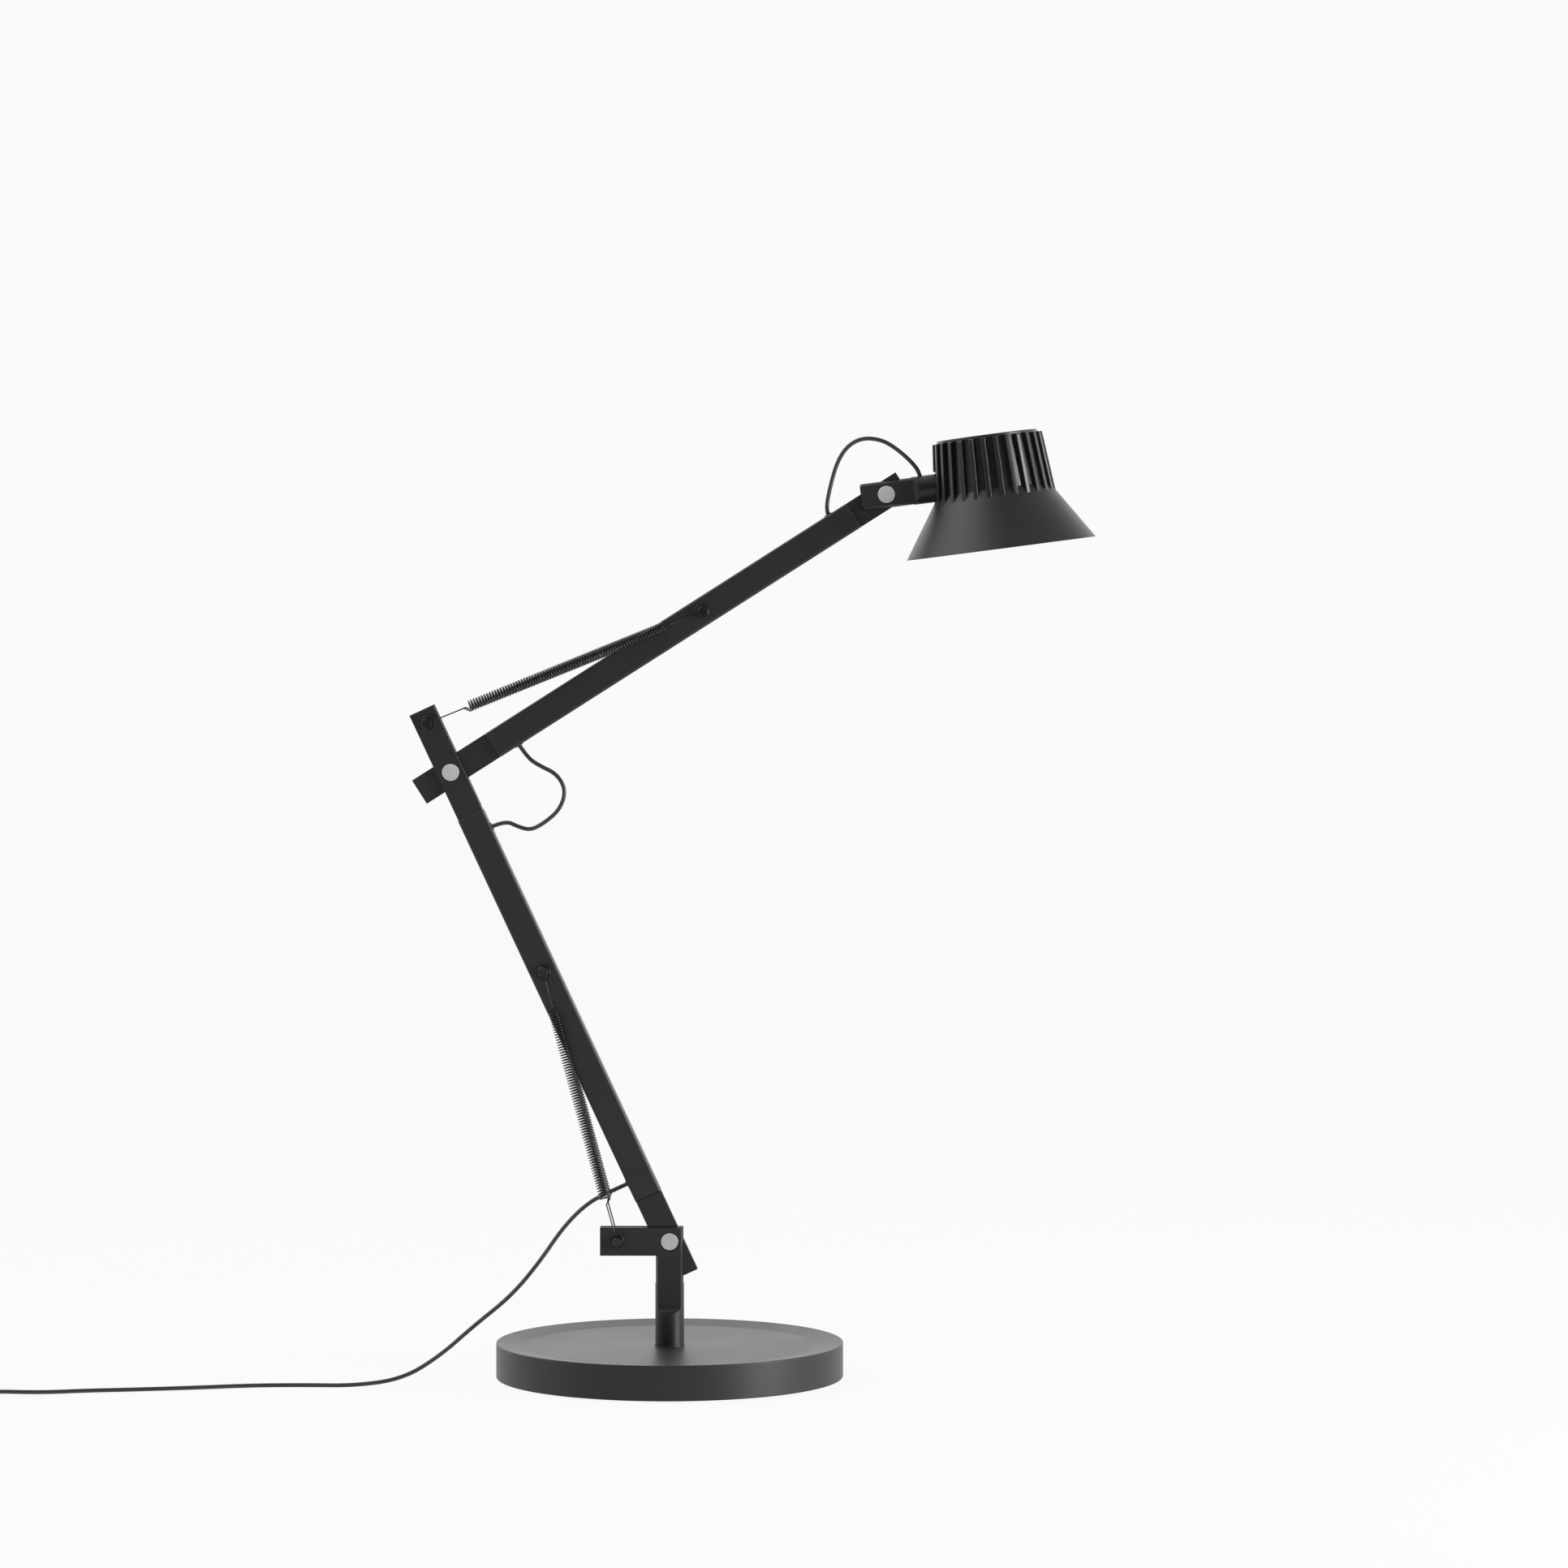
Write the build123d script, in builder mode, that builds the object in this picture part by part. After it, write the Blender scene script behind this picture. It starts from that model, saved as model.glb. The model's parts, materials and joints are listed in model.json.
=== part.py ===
from build123d import *
import os
from math import atan2, cos, hypot, pi, radians, sin, tan

# Architect desk lamp: weighted base, swivelling post, two spring balanced arms, finned lamp head.
# Millimetres, +Z up. The origin is the middle of the base's underside. +X is the side the shade
# reaches to, -Y is the front.

# Base
BASE_DIAMETER = 200.0
BASE_HEIGHT = 20.5
DISH_DEPTH = 2.2
DISH_SLOPE_WIDTH = 16.0
COVER_WALL = 3.0
COVER_LIFT = 0.3
COVER_EDGE_FILLET = 0.6
PAD_THICKNESS = 2.0
BASE_SCREW_DIAMETER = 5.0
BASE_SCREW_HEAD = 9.0
BASE_SCREW_CIRCLE = 130.0
BASE_SCREW_COUNT = 3

# Post and bracket
POST_DIAMETER = 16.6
SPINDLE_DIAMETER = 10.0
THREAD_DIAMETER = 8.0
BUSH_WALL = 2.0
BUSH_FLANGE_DIAMETER = 17.8
BUSH_FLANGE_THICKNESS = 0.5
NUT_SIZE = 13.0
NUT_THICKNESS = 4.0
THRUST_WASHER_DIAMETER = 20.0
THRUST_WASHER_THICKNESS = 1.0
NUT_POCKET_DIAMETER = 26.0
NUT_POCKET_DEPTH = 6.0
PIVOT_HEIGHT = 78.6
FLAT_START_HEIGHT = 37.6
BRACKET_REACH = 40.0
BRACKET_WIDTH = 16.3
MILL_RADIUS = 4.0
BRACKET_EDGE_FILLET = 0.6

# Forks, tongues and pivots
FORK_DEPTH = 10.0
SLOT_WIDTH = 5.0
TONGUE_THICKNESS = 4.0
TONGUE_WIDTH = 15.9
TONGUE_CORNER = 0.4
SLOT_SWING_ROOM = 1.5
PIN_DIAMETER = 6.0
CAP_DIAMETER = 9.9
CAP_THICKNESS = 1.3
CAP_RECESS_DIAMETER = 10.8
CAP_RECESS_DEPTH = 1.0
CAP_CHAMFER = 0.25
FRICTION_WASHER_DIAMETER = 13.0
RUNNING_FIT = 0.05
SLIP_GAP = 0.03
CUT_PAST = 1.0

# Arms
LOWER_ARM_LENGTH = 298.0
UPPER_ARM_LENGTH = 296.5
LOWER_ARM_LEAN = 24.9
UPPER_ARM_RISE = 32.5
ARM_WIDTH = 16.1
ARM_DEPTH = 12.0
ARM_CORNER = 1.5
TUBE_WALL = 1.2
TUBE_END_CHAMFER = 0.15
SPIGOT_LENGTH = 15.0
FOOT_TAIL = 21.4
FOOT_TO_COLLAR = 28.5
FOOT_COLLAR = 16.0
FORK_HEAD = 39.4
FORK_WIDTH = 15.4
FORK_TO_COLLAR = 27.2
FORK_COLLAR = 14.8
FORK_EDGE_FILLET = 0.6
TIP_TAIL = 11.2
TIP_TO_COLLAR = 22.0
TIP_COLLAR = 17.0
COLLAR_EDGE_CHAMFER = 0.8
FORK_COLLAR_CHAMFER = 0.3

# Balance springs, a front and a rear one on each arm
SPRING_DIAMETER = 6.2
SPRING_WIRE = 0.9
SPRING_TURNS = 25
SPRING_ARM_GAP = 0.6
SPRING_PIN_DIAMETER = 6.0
SPRING_PIN_NECK = 4.4
SPRING_PIN_HEAD = 0.9
SPRING_PIN_CHAMFER = 0.3
SPRING_PIN_GROOVE = 1.3
LOWER_ROOT_OFFSET = 30.0
UPPER_ROOT_OFFSET = 31.2
SPRING_ARM_OFFSET = 172.0
ROOT_HOOK_LENGTH = 26.0
ARM_HOOK_LENGTH = 24.0
HOOK_GRIP = 8.0
HOOK_BEAD_DIAMETER = 3.0
HOOK_EYE_RADIUS = 3.6
CONED_END_RADIUS = 1.05

# Lamp head
HEAD_TILT = 7.4
NECK_DIAMETER = 16.1
NECK_TAIL = 14.6
NECK_FLAT_END = 18.9
NECK_SPIGOT_DIAMETER = 8.0
NECK_SPIGOT_END = 43.8
NECK_SEAT_RADIUS = 30.2
NECK_SEAT_GAP = 0.3
RETAINER_DIAMETER = 14.0
RETAINER_THICKNESS = 3.0
RETAINER_END_MARGIN = 0.9
HEAD_REACH = 61.3
FIN_TOP = 24.6
FIN_TOP_RADIUS = 31.8
FIN_FOOT = -9.7
FIN_FOOT_RADIUS = 35.3
FIN_COUNT = 28
FIN_THICKNESS = 2.8
FIN_EDGE_FILLET = 0.6
FIN_ROOT = 1.0
FIN_FOOT_ROOT = 1.5
FIN_NECK_CLEARANCE = 1.1
CORE_TOP_RADIUS = 28.6
CORE_FOOT = -5.0
CORE_SKIRT_RADIUS = 26.0
CORE_SKIRT_FOOT = -8.0
CAVITY_RADIUS = 23.0
CAVITY_TOP = 16.0
POCKET_RADIUS = 10.0
POCKET_FLOOR = 18.0
WIRE_HOLE_RADIUS = 2.0
CAP_COVER_RADIUS = 29.1
CAP_COVER_HEIGHT = 1.6
CAP_COVER_CHAMFER = 0.4
RIM_FOOT = -39.2
RIM_RADIUS = 54.6
SHADE_WALL = 1.8
SHADE_FLANGE = 2.0
SHADE_SKIRT_GAP = 0.3
BUTTON_RADIUS = 7.0
BUTTON_FLANGE_RADIUS = 8.6
BUTTON_FLANGE = 1.2
BUTTON_TRAVEL = 0.8
BUTTON_RECESS = 0.2
BUTTON_FIT = 0.1
BUTTON_ROUND = 0.3
SWITCH_RADIUS = 8.0
LIGHT_PLATE_THICKNESS = 2.5
CHIP_SIZE = 14.0
CHIP_THICKNESS = 1.2
PLATE_SCREW_DIAMETER = 2.0
PLATE_SCREW_HEAD = 3.6
PLATE_SCREW_HEAD_HEIGHT = 1.4
PLATE_SCREW_GRIP = 5.0
PLATE_SCREW_COUNT = 3
REFLECTOR_THROAT = 10.5
REFLECTOR_FLANGE = 14.5
REFLECTOR_MOUTH = 37.5
REFLECTOR_LIP = 39.5
REFLECTOR_DROP = 11.0
REFLECTOR_WALL = 1.0
REFLECTOR_LIP_HEIGHT = 1.5
DIFFUSER_THICKNESS = 2.4
DIFFUSER_RING_BORE = 34.5
DIFFUSER_RING_WALL = 1.0
SEAT_PLAY = 0.1

# Cord
CORD_DIAMETER = 2.4
ARC_SHARE = 0.45
CABLE_BORE = 3.2
CABLE_BEND = 7.0
CABLE_OFFSET = 4.4
CABLE_PASS = 18.0
CABLE_CROSS = 40.0
CABLE_CROSS_BEND = 60.0
LOWER_FOOT_EXIT = 40.2
UPPER_FOOT_EXIT = 41.5
FORK_EXIT = 38.3
TIP_EXIT = 34.6
NECK_EXIT = 20.5
NECK_CABLE_BEND = 5.0
GROMMET_STAND = 0.5
GROMMET_SPOT_DEPTH = 0.55
GROMMET_FLANGE = 4.8
GROMMET_NECK = 4.0
GROMMET_DEPTH = 1.8
GROMMET_ROUND = 0.3
ELBOW_EXIT_RUN = 8.0
HEAD_EXIT_RUN = 2.2
POWER_EXIT_RUN = 9.0
COIL_START = (-404.0, -78.0, 2.4)
COIL_INNER_RADIUS = 9.2
COIL_PITCH = 3.0
COIL_LAYER_TURNS = 3.4375
COIL_LAYERS = 4
COIL_CLIMB_TURNS = 0.5
COIL_END_RUN = 16.0
TIE_WIDTH = 4.0
TIE_THICKNESS = 0.7
TIE_GAP = 0.45
RELIEF_LENGTH = 16.0
RELIEF_DIAMETER = 7.0
RELIEF_TIP_DIAMETER = 4.2
PLUG_LENGTH = 46.0
PLUG_WIDTH = 30.0
PLUG_CORNER = 4.0
PLUG_EDGE_FILLET = 1.6
PLUG_PIN_DIAMETER = 4.0
PLUG_PIN_LENGTH = 19.0
PLUG_PIN_SPACING = 19.0
PLUG_PIN_SEAT = 4.0
PLUG_PIN_ROUND = 0.8

# Places worked out from the driving dimensions
FRONT = Vector(0, -1, 0)
LOWER_DIRECTION = Vector(-sin(radians(LOWER_ARM_LEAN)), 0, cos(radians(LOWER_ARM_LEAN)))
UPPER_DIRECTION = Vector(cos(radians(UPPER_ARM_RISE)), 0, sin(radians(UPPER_ARM_RISE)))
HEAD_DIRECTION = Vector(cos(radians(HEAD_TILT)), 0, sin(radians(HEAD_TILT)))
HEAD_UP = Vector(-sin(radians(HEAD_TILT)), 0, cos(radians(HEAD_TILT)))
LOWER_PIVOT = Vector(0, 0, PIVOT_HEIGHT)
ELBOW = LOWER_PIVOT + LOWER_DIRECTION * LOWER_ARM_LENGTH
HEAD_PIVOT = ELBOW + UPPER_DIRECTION * UPPER_ARM_LENGTH
HEAD_CENTRE = HEAD_PIVOT + HEAD_DIRECTION * HEAD_REACH
HEAD_AXIS = Axis(HEAD_CENTRE, HEAD_UP)

# Side view planes: x along the piece, y across it, z towards the front
BRACKET_FRAME = Plane(LOWER_PIVOT, Vector(1, 0, 0), FRONT)
LOWER_FRAME = Plane(LOWER_PIVOT, LOWER_DIRECTION, FRONT)
FORK_FRAME = Plane(ELBOW, LOWER_DIRECTION, FRONT)
UPPER_FRAME = Plane(ELBOW, UPPER_DIRECTION, FRONT)
TIP_FRAME = Plane(HEAD_PIVOT, UPPER_DIRECTION, FRONT)
NECK_FRAME = Plane(HEAD_PIVOT, HEAD_DIRECTION, FRONT)
HEAD_FRAME = Plane(HEAD_CENTRE, HEAD_DIRECTION, FRONT)

DISH_FLOOR = BASE_HEIGHT - DISH_DEPTH
COVER_CEILING = DISH_FLOOR - COVER_WALL
COVER_BORE = BASE_DIAMETER - 2 * COVER_WALL
PAD_DIAMETER = COVER_BORE - 2 * SEAT_PLAY
BUSH_DIAMETER = SPINDLE_DIAMETER + 2 * (BUSH_WALL + RUNNING_FIT)
NUT_POCKET_TOP = PAD_THICKNESS + NUT_POCKET_DEPTH
POST_FOOT = DISH_FLOOR + BUSH_FLANGE_THICKNESS
THRUST_WASHER_TOP = NUT_POCKET_TOP - SEAT_PLAY
NUT_TOP = THRUST_WASHER_TOP - THRUST_WASHER_THICKNESS
POST_SLOT_FLOOR = PIVOT_HEIGHT - hypot(FOOT_TAIL, TONGUE_WIDTH / 2) - SLOT_SWING_ROOM
FORK_SLOT_FLOOR = hypot(FOOT_TAIL, TONGUE_WIDTH / 2) + SLOT_SWING_ROOM
NECK_SLOT_END = hypot(TIP_TAIL, TONGUE_WIDTH / 2) + SLOT_SWING_ROOM
CAP_FLOOR = FORK_DEPTH / 2 - CAP_RECESS_DEPTH
SPRING_PLANE = ARM_DEPTH / 2 + SPRING_ARM_GAP + SPRING_DIAMETER / 2
SPRING_RADIUS = (SPRING_DIAMETER - SPRING_WIRE) / 2
HOOK_EYE_SHIFT = HOOK_EYE_RADIUS - SPRING_WIRE / 2 - SPRING_PIN_NECK / 2 - RUNNING_FIT
NECK_END = HEAD_REACH - NECK_SEAT_RADIUS - NECK_SEAT_GAP
CONE_SLOPE = (RIM_RADIUS - FIN_FOOT_RADIUS) / (FIN_FOOT - RIM_FOOT)
CORE_FOOT_RADIUS = FIN_FOOT_RADIUS - (CORE_FOOT - FIN_FOOT) * CONE_SLOPE
PLATE_FOOT = CORE_SKIRT_FOOT - LIGHT_PLATE_THICKNESS
PLATE_SCREW_RADIUS = (CAVITY_RADIUS + CORE_SKIRT_RADIUS) / 2
MOUTH_TOP = PLATE_FOOT - REFLECTOR_DROP
CAP_COVER_TOP = FIN_TOP + CAP_COVER_HEIGHT
BUTTON_FLANGE_TOP = FIN_TOP - SEAT_PLAY
SWITCH_TOP = BUTTON_FLANGE_TOP - BUTTON_FLANGE - BUTTON_TRAVEL - SEAT_PLAY
LOWER_TUBE_START = FOOT_TO_COLLAR + FOOT_COLLAR
LOWER_TUBE_END = LOWER_ARM_LENGTH - FORK_TO_COLLAR - FORK_COLLAR
UPPER_TUBE_END = UPPER_ARM_LENGTH - TIP_TO_COLLAR - TIP_COLLAR
CORD_EXIT_DEPTH = ARM_WIDTH / 2 + GROMMET_STAND
NECK_SPOT_FACE = NECK_DIAMETER / 2 - GROMMET_SPOT_DEPTH


def cross_plane(frame, x):
    """The plane square to a frame's x axis, at x."""
    return Plane(frame.from_local_coords(Vector(x, 0, 0)), frame.y_dir, frame.x_dir)


def top_plane(frame):
    """The plane that looks along a frame's y axis, with the same x axis."""
    return Plane(frame.origin, frame.x_dir, frame.y_dir)


def exit_plane(frame, x, side, distance):
    """The plane of a cord's exit at x, on the +y or -y side, facing out."""
    return Plane(frame.from_local_coords(Vector(x, side * distance, 0)), frame.x_dir, frame.y_dir * side)


def cone_radius(height):
    """Outer radius of the shade's cone at a height above the head's centre."""
    return FIN_FOOT_RADIUS + (FIN_FOOT - height) * CONE_SLOPE


def save(part, name):
    """Label a finished piece and write it."""
    part.label = name
    export_step(part, f"parts/{name}.step")


def disc(plane, radius, height, bore=0.0):
    """A disc or a ring that rises from a plane."""
    with BuildPart() as piece:
        with BuildSketch(plane):
            Circle(radius)
            if bore:
                Circle(bore, mode=Mode.SUBTRACT)
        extrude(amount=height)
    return piece.part


def turned(points, axis=HEAD_AXIS, frame=HEAD_FRAME):
    """A piece turned about the lamp head's axis from its outline."""
    with BuildPart() as piece:
        with BuildSketch(frame):
            with BuildLine():
                Polyline(*points, close=True)
            make_face()
        revolve(axis=axis)
    return piece.part


# Round tubes along a route

def cord_radii(points):
    """The largest arc that each corner's two runs allow."""
    corners = [Vector(p) for p in points]
    radii = []
    for before, here, after in zip(corners, corners[1:], corners[2:]):
        turn = radians((here - before).get_angle(after - here))
        shorter = min((here - before).length, (after - here).length)
        radii.append(ARC_SHARE * shorter / tan(turn / 2))
    return radii


def tube_along(points, radii, diameter):
    """A round tube on straight runs joined by tangent arcs."""
    with BuildPart() as tube:
        with BuildLine() as route:
            FilletPolyline(*points, radius=radii)
        with BuildSketch(Plane(route.line @ 0, z_dir=route.line % 0)):
            Circle(diameter / 2)
        sweep(path=route.wires()[0])
    return tube.part, route.wires()[0].length


def free_cord(name, points):
    """A stretch of free cord. Its radii and its volume against its length are printed."""
    radii = cord_radii(points)
    tube, length = tube_along(points, radii, CORD_DIAMETER)
    fill = tube.volume / (pi * CORD_DIAMETER**2 / 4 * length)
    print(name, "length", round(length, 1), "volume ratio", round(fill, 4), [round(r, 1) for r in radii])
    return tube


def least_gap(wire, diameter, apart):
    """Least clear gap between stretches of a tube that are at least that far apart along it."""
    count = int(wire.length / (diameter / 2))
    samples = [wire @ (i / count) for i in range(count + 1)]
    skip = int(apart / wire.length * count) + 1
    look_ahead = 40 * skip
    least = min(
        (samples[j] - samples[i]).length
        for i in range(count + 1)
        for j in range(i + skip, min(count + 1, i + look_ahead))
    )
    return least - diameter


def wound_tube(name, curve, steps, diameter, start_run, end_run, apart):
    """One unbroken tube through a curve's points on biarcs, with a straight run at each end."""
    nudge = 1e-4
    points = [curve(t) for t in steps]
    tangents = [(curve(t + nudge) - curve(t - nudge)).normalized() for t in steps]
    with BuildPart() as tube:
        with BuildLine() as route:
            if start_run:
                Line(points[0] - tangents[0] * start_run, points[0])
            for p0, t0, p1, t1 in zip(points, tangents, points[1:], tangents[1:]):
                chord = p1 - p0
                both = chord.dot(t0 + t1)
                bend = 2 * (1 - t0.dot(t1))
                reach = ((both**2 + bend * chord.dot(chord)) ** 0.5 - both) / bend
                q0 = p0 + t0 * reach
                q1 = p1 - t1 * reach
                middle = (q0 + q1) * 0.5
                TangentArc(p0, middle, tangent=t0)
                TangentArc(middle, p1, tangent=q1 - q0)
            if end_run:
                Line(points[-1], points[-1] + tangents[-1] * end_run)
        wire = route.wires()[0]
        with BuildSketch(Plane(wire @ 0, z_dir=wire % 0)):
            Circle(diameter / 2)
        sweep(path=wire)
    gap = least_gap(wire, diameter, apart)
    fill = tube.part.volume / (pi * diameter**2 / 4 * wire.length)
    print(name, "length", round(wire.length, 1), "volume ratio", round(fill, 4), "least gap", round(gap, 2))
    return tube.part


# Pieces that the three pivots share

def fork_holes(frame):
    """The pin's hole through a fork, with a recess for the cap on both sides."""
    with BuildPart() as holes:
        with BuildSketch(frame):
            Circle(PIN_DIAMETER / 2 + SLIP_GAP)
        extrude(amount=FORK_DEPTH, both=True)
        for side in (1, -1):
            with BuildSketch(frame.offset(side * CAP_FLOOR)):
                Circle(CAP_RECESS_DIAMETER / 2)
            extrude(amount=side * FORK_DEPTH)
    return holes.part


def slot(frame, start, end, width):
    """The slot that a fork's tongue turns in."""
    with BuildPart() as cut:
        with BuildSketch(frame):
            with Locations(((start + end) / 2, 0)):
                Rectangle(end - start, width)
        extrude(amount=SLOT_WIDTH / 2, both=True)
    return cut.part


def pivot_pin(frame):
    """A plain pin between the two caps."""
    with BuildPart() as pin:
        with BuildSketch(frame):
            Circle(PIN_DIAMETER / 2)
        extrude(amount=CAP_FLOOR, both=True)
    return pin.part


def pivot_caps(frame):
    """The pale caps over both ends of a pivot pin."""
    with BuildPart() as caps:
        for side in (1, -1):
            with BuildSketch(frame.offset(side * CAP_FLOOR)):
                Circle(CAP_DIAMETER / 2)
            extrude(amount=side * CAP_THICKNESS)
        outer = caps.faces().sort_by(Axis.Y)
        chamfer(outer[0].edges() + outer[-1].edges(), CAP_CHAMFER)
    return caps.part


def friction_washers(frame):
    """The washers between a tongue and its fork's cheeks."""
    with BuildPart() as washers:
        for side in (1, -1):
            with BuildSketch(frame.offset(side * (TONGUE_THICKNESS / 2 + SLIP_GAP))):
                Circle(FRICTION_WASHER_DIAMETER / 2)
                Circle(PIN_DIAMETER / 2 + RUNNING_FIT, mode=Mode.SUBTRACT)
            extrude(amount=side * ((SLOT_WIDTH - TONGUE_THICKNESS) / 2 - 2 * SLIP_GAP))
    return washers.part


def milled_flats(frame, start, end):
    """What is milled off a round bar to leave its fork's cheeks, with a rounded run-out at the end."""
    cutter = 3 * MILL_RADIUS
    with BuildPart() as cut:
        with BuildSketch(top_plane(frame)) as sides:
            for side in (1, -1):
                with Locations(((start + end) / 2, side * (FORK_DEPTH + cutter) / 2)):
                    Rectangle(end - start, cutter)
            fillet(sides.vertices().group_by(Axis.X)[-1], MILL_RADIUS)
        extrude(amount=POST_DIAMETER, both=True)
    return cut.part


# Pieces that the cord's exits share

def cable_bore(frame, exit_x, side, towards, end):
    """The way of the cable from an exit on one side into the tube, along the tube's other side."""
    points = [
        (exit_x, side * (ARM_WIDTH / 2 + CUT_PAST), 0),
        (exit_x, -side * CABLE_OFFSET, 0),
        (exit_x + towards * end, -side * CABLE_OFFSET, 0),
    ]
    bore, _ = tube_along([frame.from_local_coords(Vector(p)) for p in points], [CABLE_BEND], CABLE_BORE)
    return bore


def grommet(plane):
    """A grommet, its flange outside and its neck inside the wall."""
    with BuildPart() as ring:
        with BuildSketch(plane):
            Circle(GROMMET_FLANGE / 2)
        extrude(amount=GROMMET_STAND)
        fillet(ring.edges().sort_by(Axis(plane.origin, plane.z_dir))[-1], GROMMET_ROUND)
        with BuildSketch(plane):
            Circle(GROMMET_NECK / 2 - SLIP_GAP)
        extrude(amount=-GROMMET_DEPTH)
        with BuildSketch(plane):
            Circle(CORD_DIAMETER / 2 + SLIP_GAP)
        extrude(amount=GROMMET_STAND + GROMMET_DEPTH, both=True, mode=Mode.SUBTRACT)
    return ring.part


def arm_cable(frame, length, side, near_exit, far_exit):
    """The cable inside an arm, past the spring pin and across to the exit on the other side."""
    pass_end = SPRING_ARM_OFFSET + CABLE_PASS
    cross_end = pass_end + CABLE_CROSS
    points = [
        (near_exit, side * CORD_EXIT_DEPTH, 0),
        (near_exit, -side * CABLE_OFFSET, 0),
        (pass_end, -side * CABLE_OFFSET, 0),
        (cross_end, side * CABLE_OFFSET, 0),
        (length - far_exit, side * CABLE_OFFSET, 0),
        (length - far_exit, -side * CORD_EXIT_DEPTH, 0),
    ]
    route = [frame.from_local_coords(Vector(p)) for p in points]
    bends = [CABLE_BEND, CABLE_CROSS_BEND, CABLE_CROSS_BEND, CABLE_BEND]
    cable, _ = tube_along(route, bends, CORD_DIAMETER)
    return cable


# Pieces that the two arms share

def collar_and_spigot(frame, start, towards, collar, edge):
    """An end piece's collar, flush with the tube, and the spigot that fits in the tube."""
    with BuildPart() as end:
        with BuildSketch(cross_plane(frame, start)):
            RectangleRounded(ARM_WIDTH, ARM_DEPTH, ARM_CORNER)
        extrude(amount=towards * collar)
        outer_end = end.faces().sort_by(Axis(frame.origin, frame.x_dir * towards))[0]
        chamfer(outer_end.edges(), edge)
        inset = 2 * (TUBE_WALL + SLIP_GAP)
        with BuildSketch(cross_plane(frame, start + towards * collar)):
            RectangleRounded(ARM_WIDTH - inset, ARM_DEPTH - inset, ARM_CORNER / 2)
        extrude(amount=towards * SPIGOT_LENGTH)
    return end.part


def tongue_end(frame, tail, reach, collar, exit_x, side, towards):
    """An arm's end piece: tongue, collar and spigot, with the cord's exit in the collar."""
    with BuildPart() as end:
        with BuildSketch(frame):
            with Locations((towards * (reach + CUT_PAST - tail) / 2, 0)):
                RectangleRounded(reach + CUT_PAST + tail, TONGUE_WIDTH, TONGUE_CORNER)
        extrude(amount=TONGUE_THICKNESS / 2, both=True)
        add(collar_and_spigot(frame, towards * reach, towards, collar, COLLAR_EDGE_CHAMFER))
        with BuildSketch(frame):
            Circle(PIN_DIAMETER / 2 + RUNNING_FIT)
        extrude(amount=TONGUE_THICKNESS, both=True, mode=Mode.SUBTRACT)
        add(cable_bore(frame, exit_x, side, towards, FOOT_COLLAR + SPIGOT_LENGTH), mode=Mode.SUBTRACT)
        with BuildSketch(exit_plane(frame, exit_x, side, ARM_WIDTH / 2)):
            Circle(GROMMET_NECK / 2)
        extrude(amount=-GROMMET_DEPTH - SEAT_PLAY, mode=Mode.SUBTRACT)
    return end.part


def arm_tube(frame, start, end):
    """An arm's tube, with the hole for its spring pin."""
    with BuildPart() as tube:
        with BuildSketch(cross_plane(frame, start)):
            RectangleRounded(ARM_WIDTH, ARM_DEPTH, ARM_CORNER)
            RectangleRounded(
                ARM_WIDTH - 2 * TUBE_WALL, ARM_DEPTH - 2 * TUBE_WALL, ARM_CORNER / 2, mode=Mode.SUBTRACT
            )
        extrude(amount=end - start)
        ends = tube.faces().sort_by(Axis(frame.origin, frame.x_dir))
        chamfer(ends[0].outer_wire().edges() + ends[-1].outer_wire().edges(), TUBE_END_CHAMFER)
        with BuildSketch(frame):
            with Locations((SPRING_ARM_OFFSET, 0)):
                Circle(SPRING_PIN_DIAMETER / 2)
        extrude(amount=ARM_DEPTH, both=True, mode=Mode.SUBTRACT)
    return tube.part


# Springs

def spring_pin(frame, x):
    """A pin right through, with a groove for the spring's eye near each end."""
    inner = SPRING_PLANE - SPRING_PIN_GROOVE / 2
    outer = SPRING_PLANE + SPRING_PIN_GROOVE / 2
    with BuildPart() as pin:
        with BuildSketch(frame):
            with Locations((x, 0)):
                Circle(SPRING_PIN_DIAMETER / 2)
        extrude(amount=inner, both=True)
        with BuildSketch(frame):
            with Locations((x, 0)):
                Circle(SPRING_PIN_NECK / 2)
        extrude(amount=outer, both=True)
        for side in (1, -1):
            with BuildSketch(frame.offset(side * outer)):
                with Locations((x, 0)):
                    Circle(SPRING_PIN_DIAMETER / 2)
            extrude(amount=side * SPRING_PIN_HEAD)
        faces = pin.faces().sort_by(Axis.Y)
        chamfer(faces[0].edges() + faces[-1].edges(), SPRING_PIN_CHAMFER)
    return pin.part


def spring_frame(root, arm):
    """The frame of a spring: x from its root pin to its arm pin."""
    return Plane(root, (arm - root).normalized(), FRONT)


def spring_hooks(frame, pin_x, towards, length):
    """The front and rear hooks at one end: an eye round the pin and a wire into the coil."""
    eye_x = pin_x + towards * HOOK_EYE_SHIFT
    wire_start = eye_x + towards * HOOK_EYE_RADIUS
    wire_end = pin_x + towards * (length + HOOK_GRIP)
    with BuildPart() as hooks:
        for side in (1, -1):
            level = frame.offset(side * SPRING_PLANE)
            eye_centre = level.from_local_coords(Vector(eye_x, 0, 0))
            with BuildSketch(Plane(eye_centre, frame.x_dir, frame.y_dir)):
                with Locations((HOOK_EYE_RADIUS, 0)):
                    Circle(SPRING_WIRE / 2)
            revolve(axis=Axis(eye_centre, FRONT))
            with BuildSketch(cross_plane(level, wire_start)):
                Circle(SPRING_WIRE / 2)
            extrude(amount=wire_end - wire_start)
            with BuildSketch(cross_plane(level, wire_end)):
                Circle(HOOK_BEAD_DIAMETER / 2)
            extrude(amount=-towards * HOOK_BEAD_DIAMETER)
    return hooks.part


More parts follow.
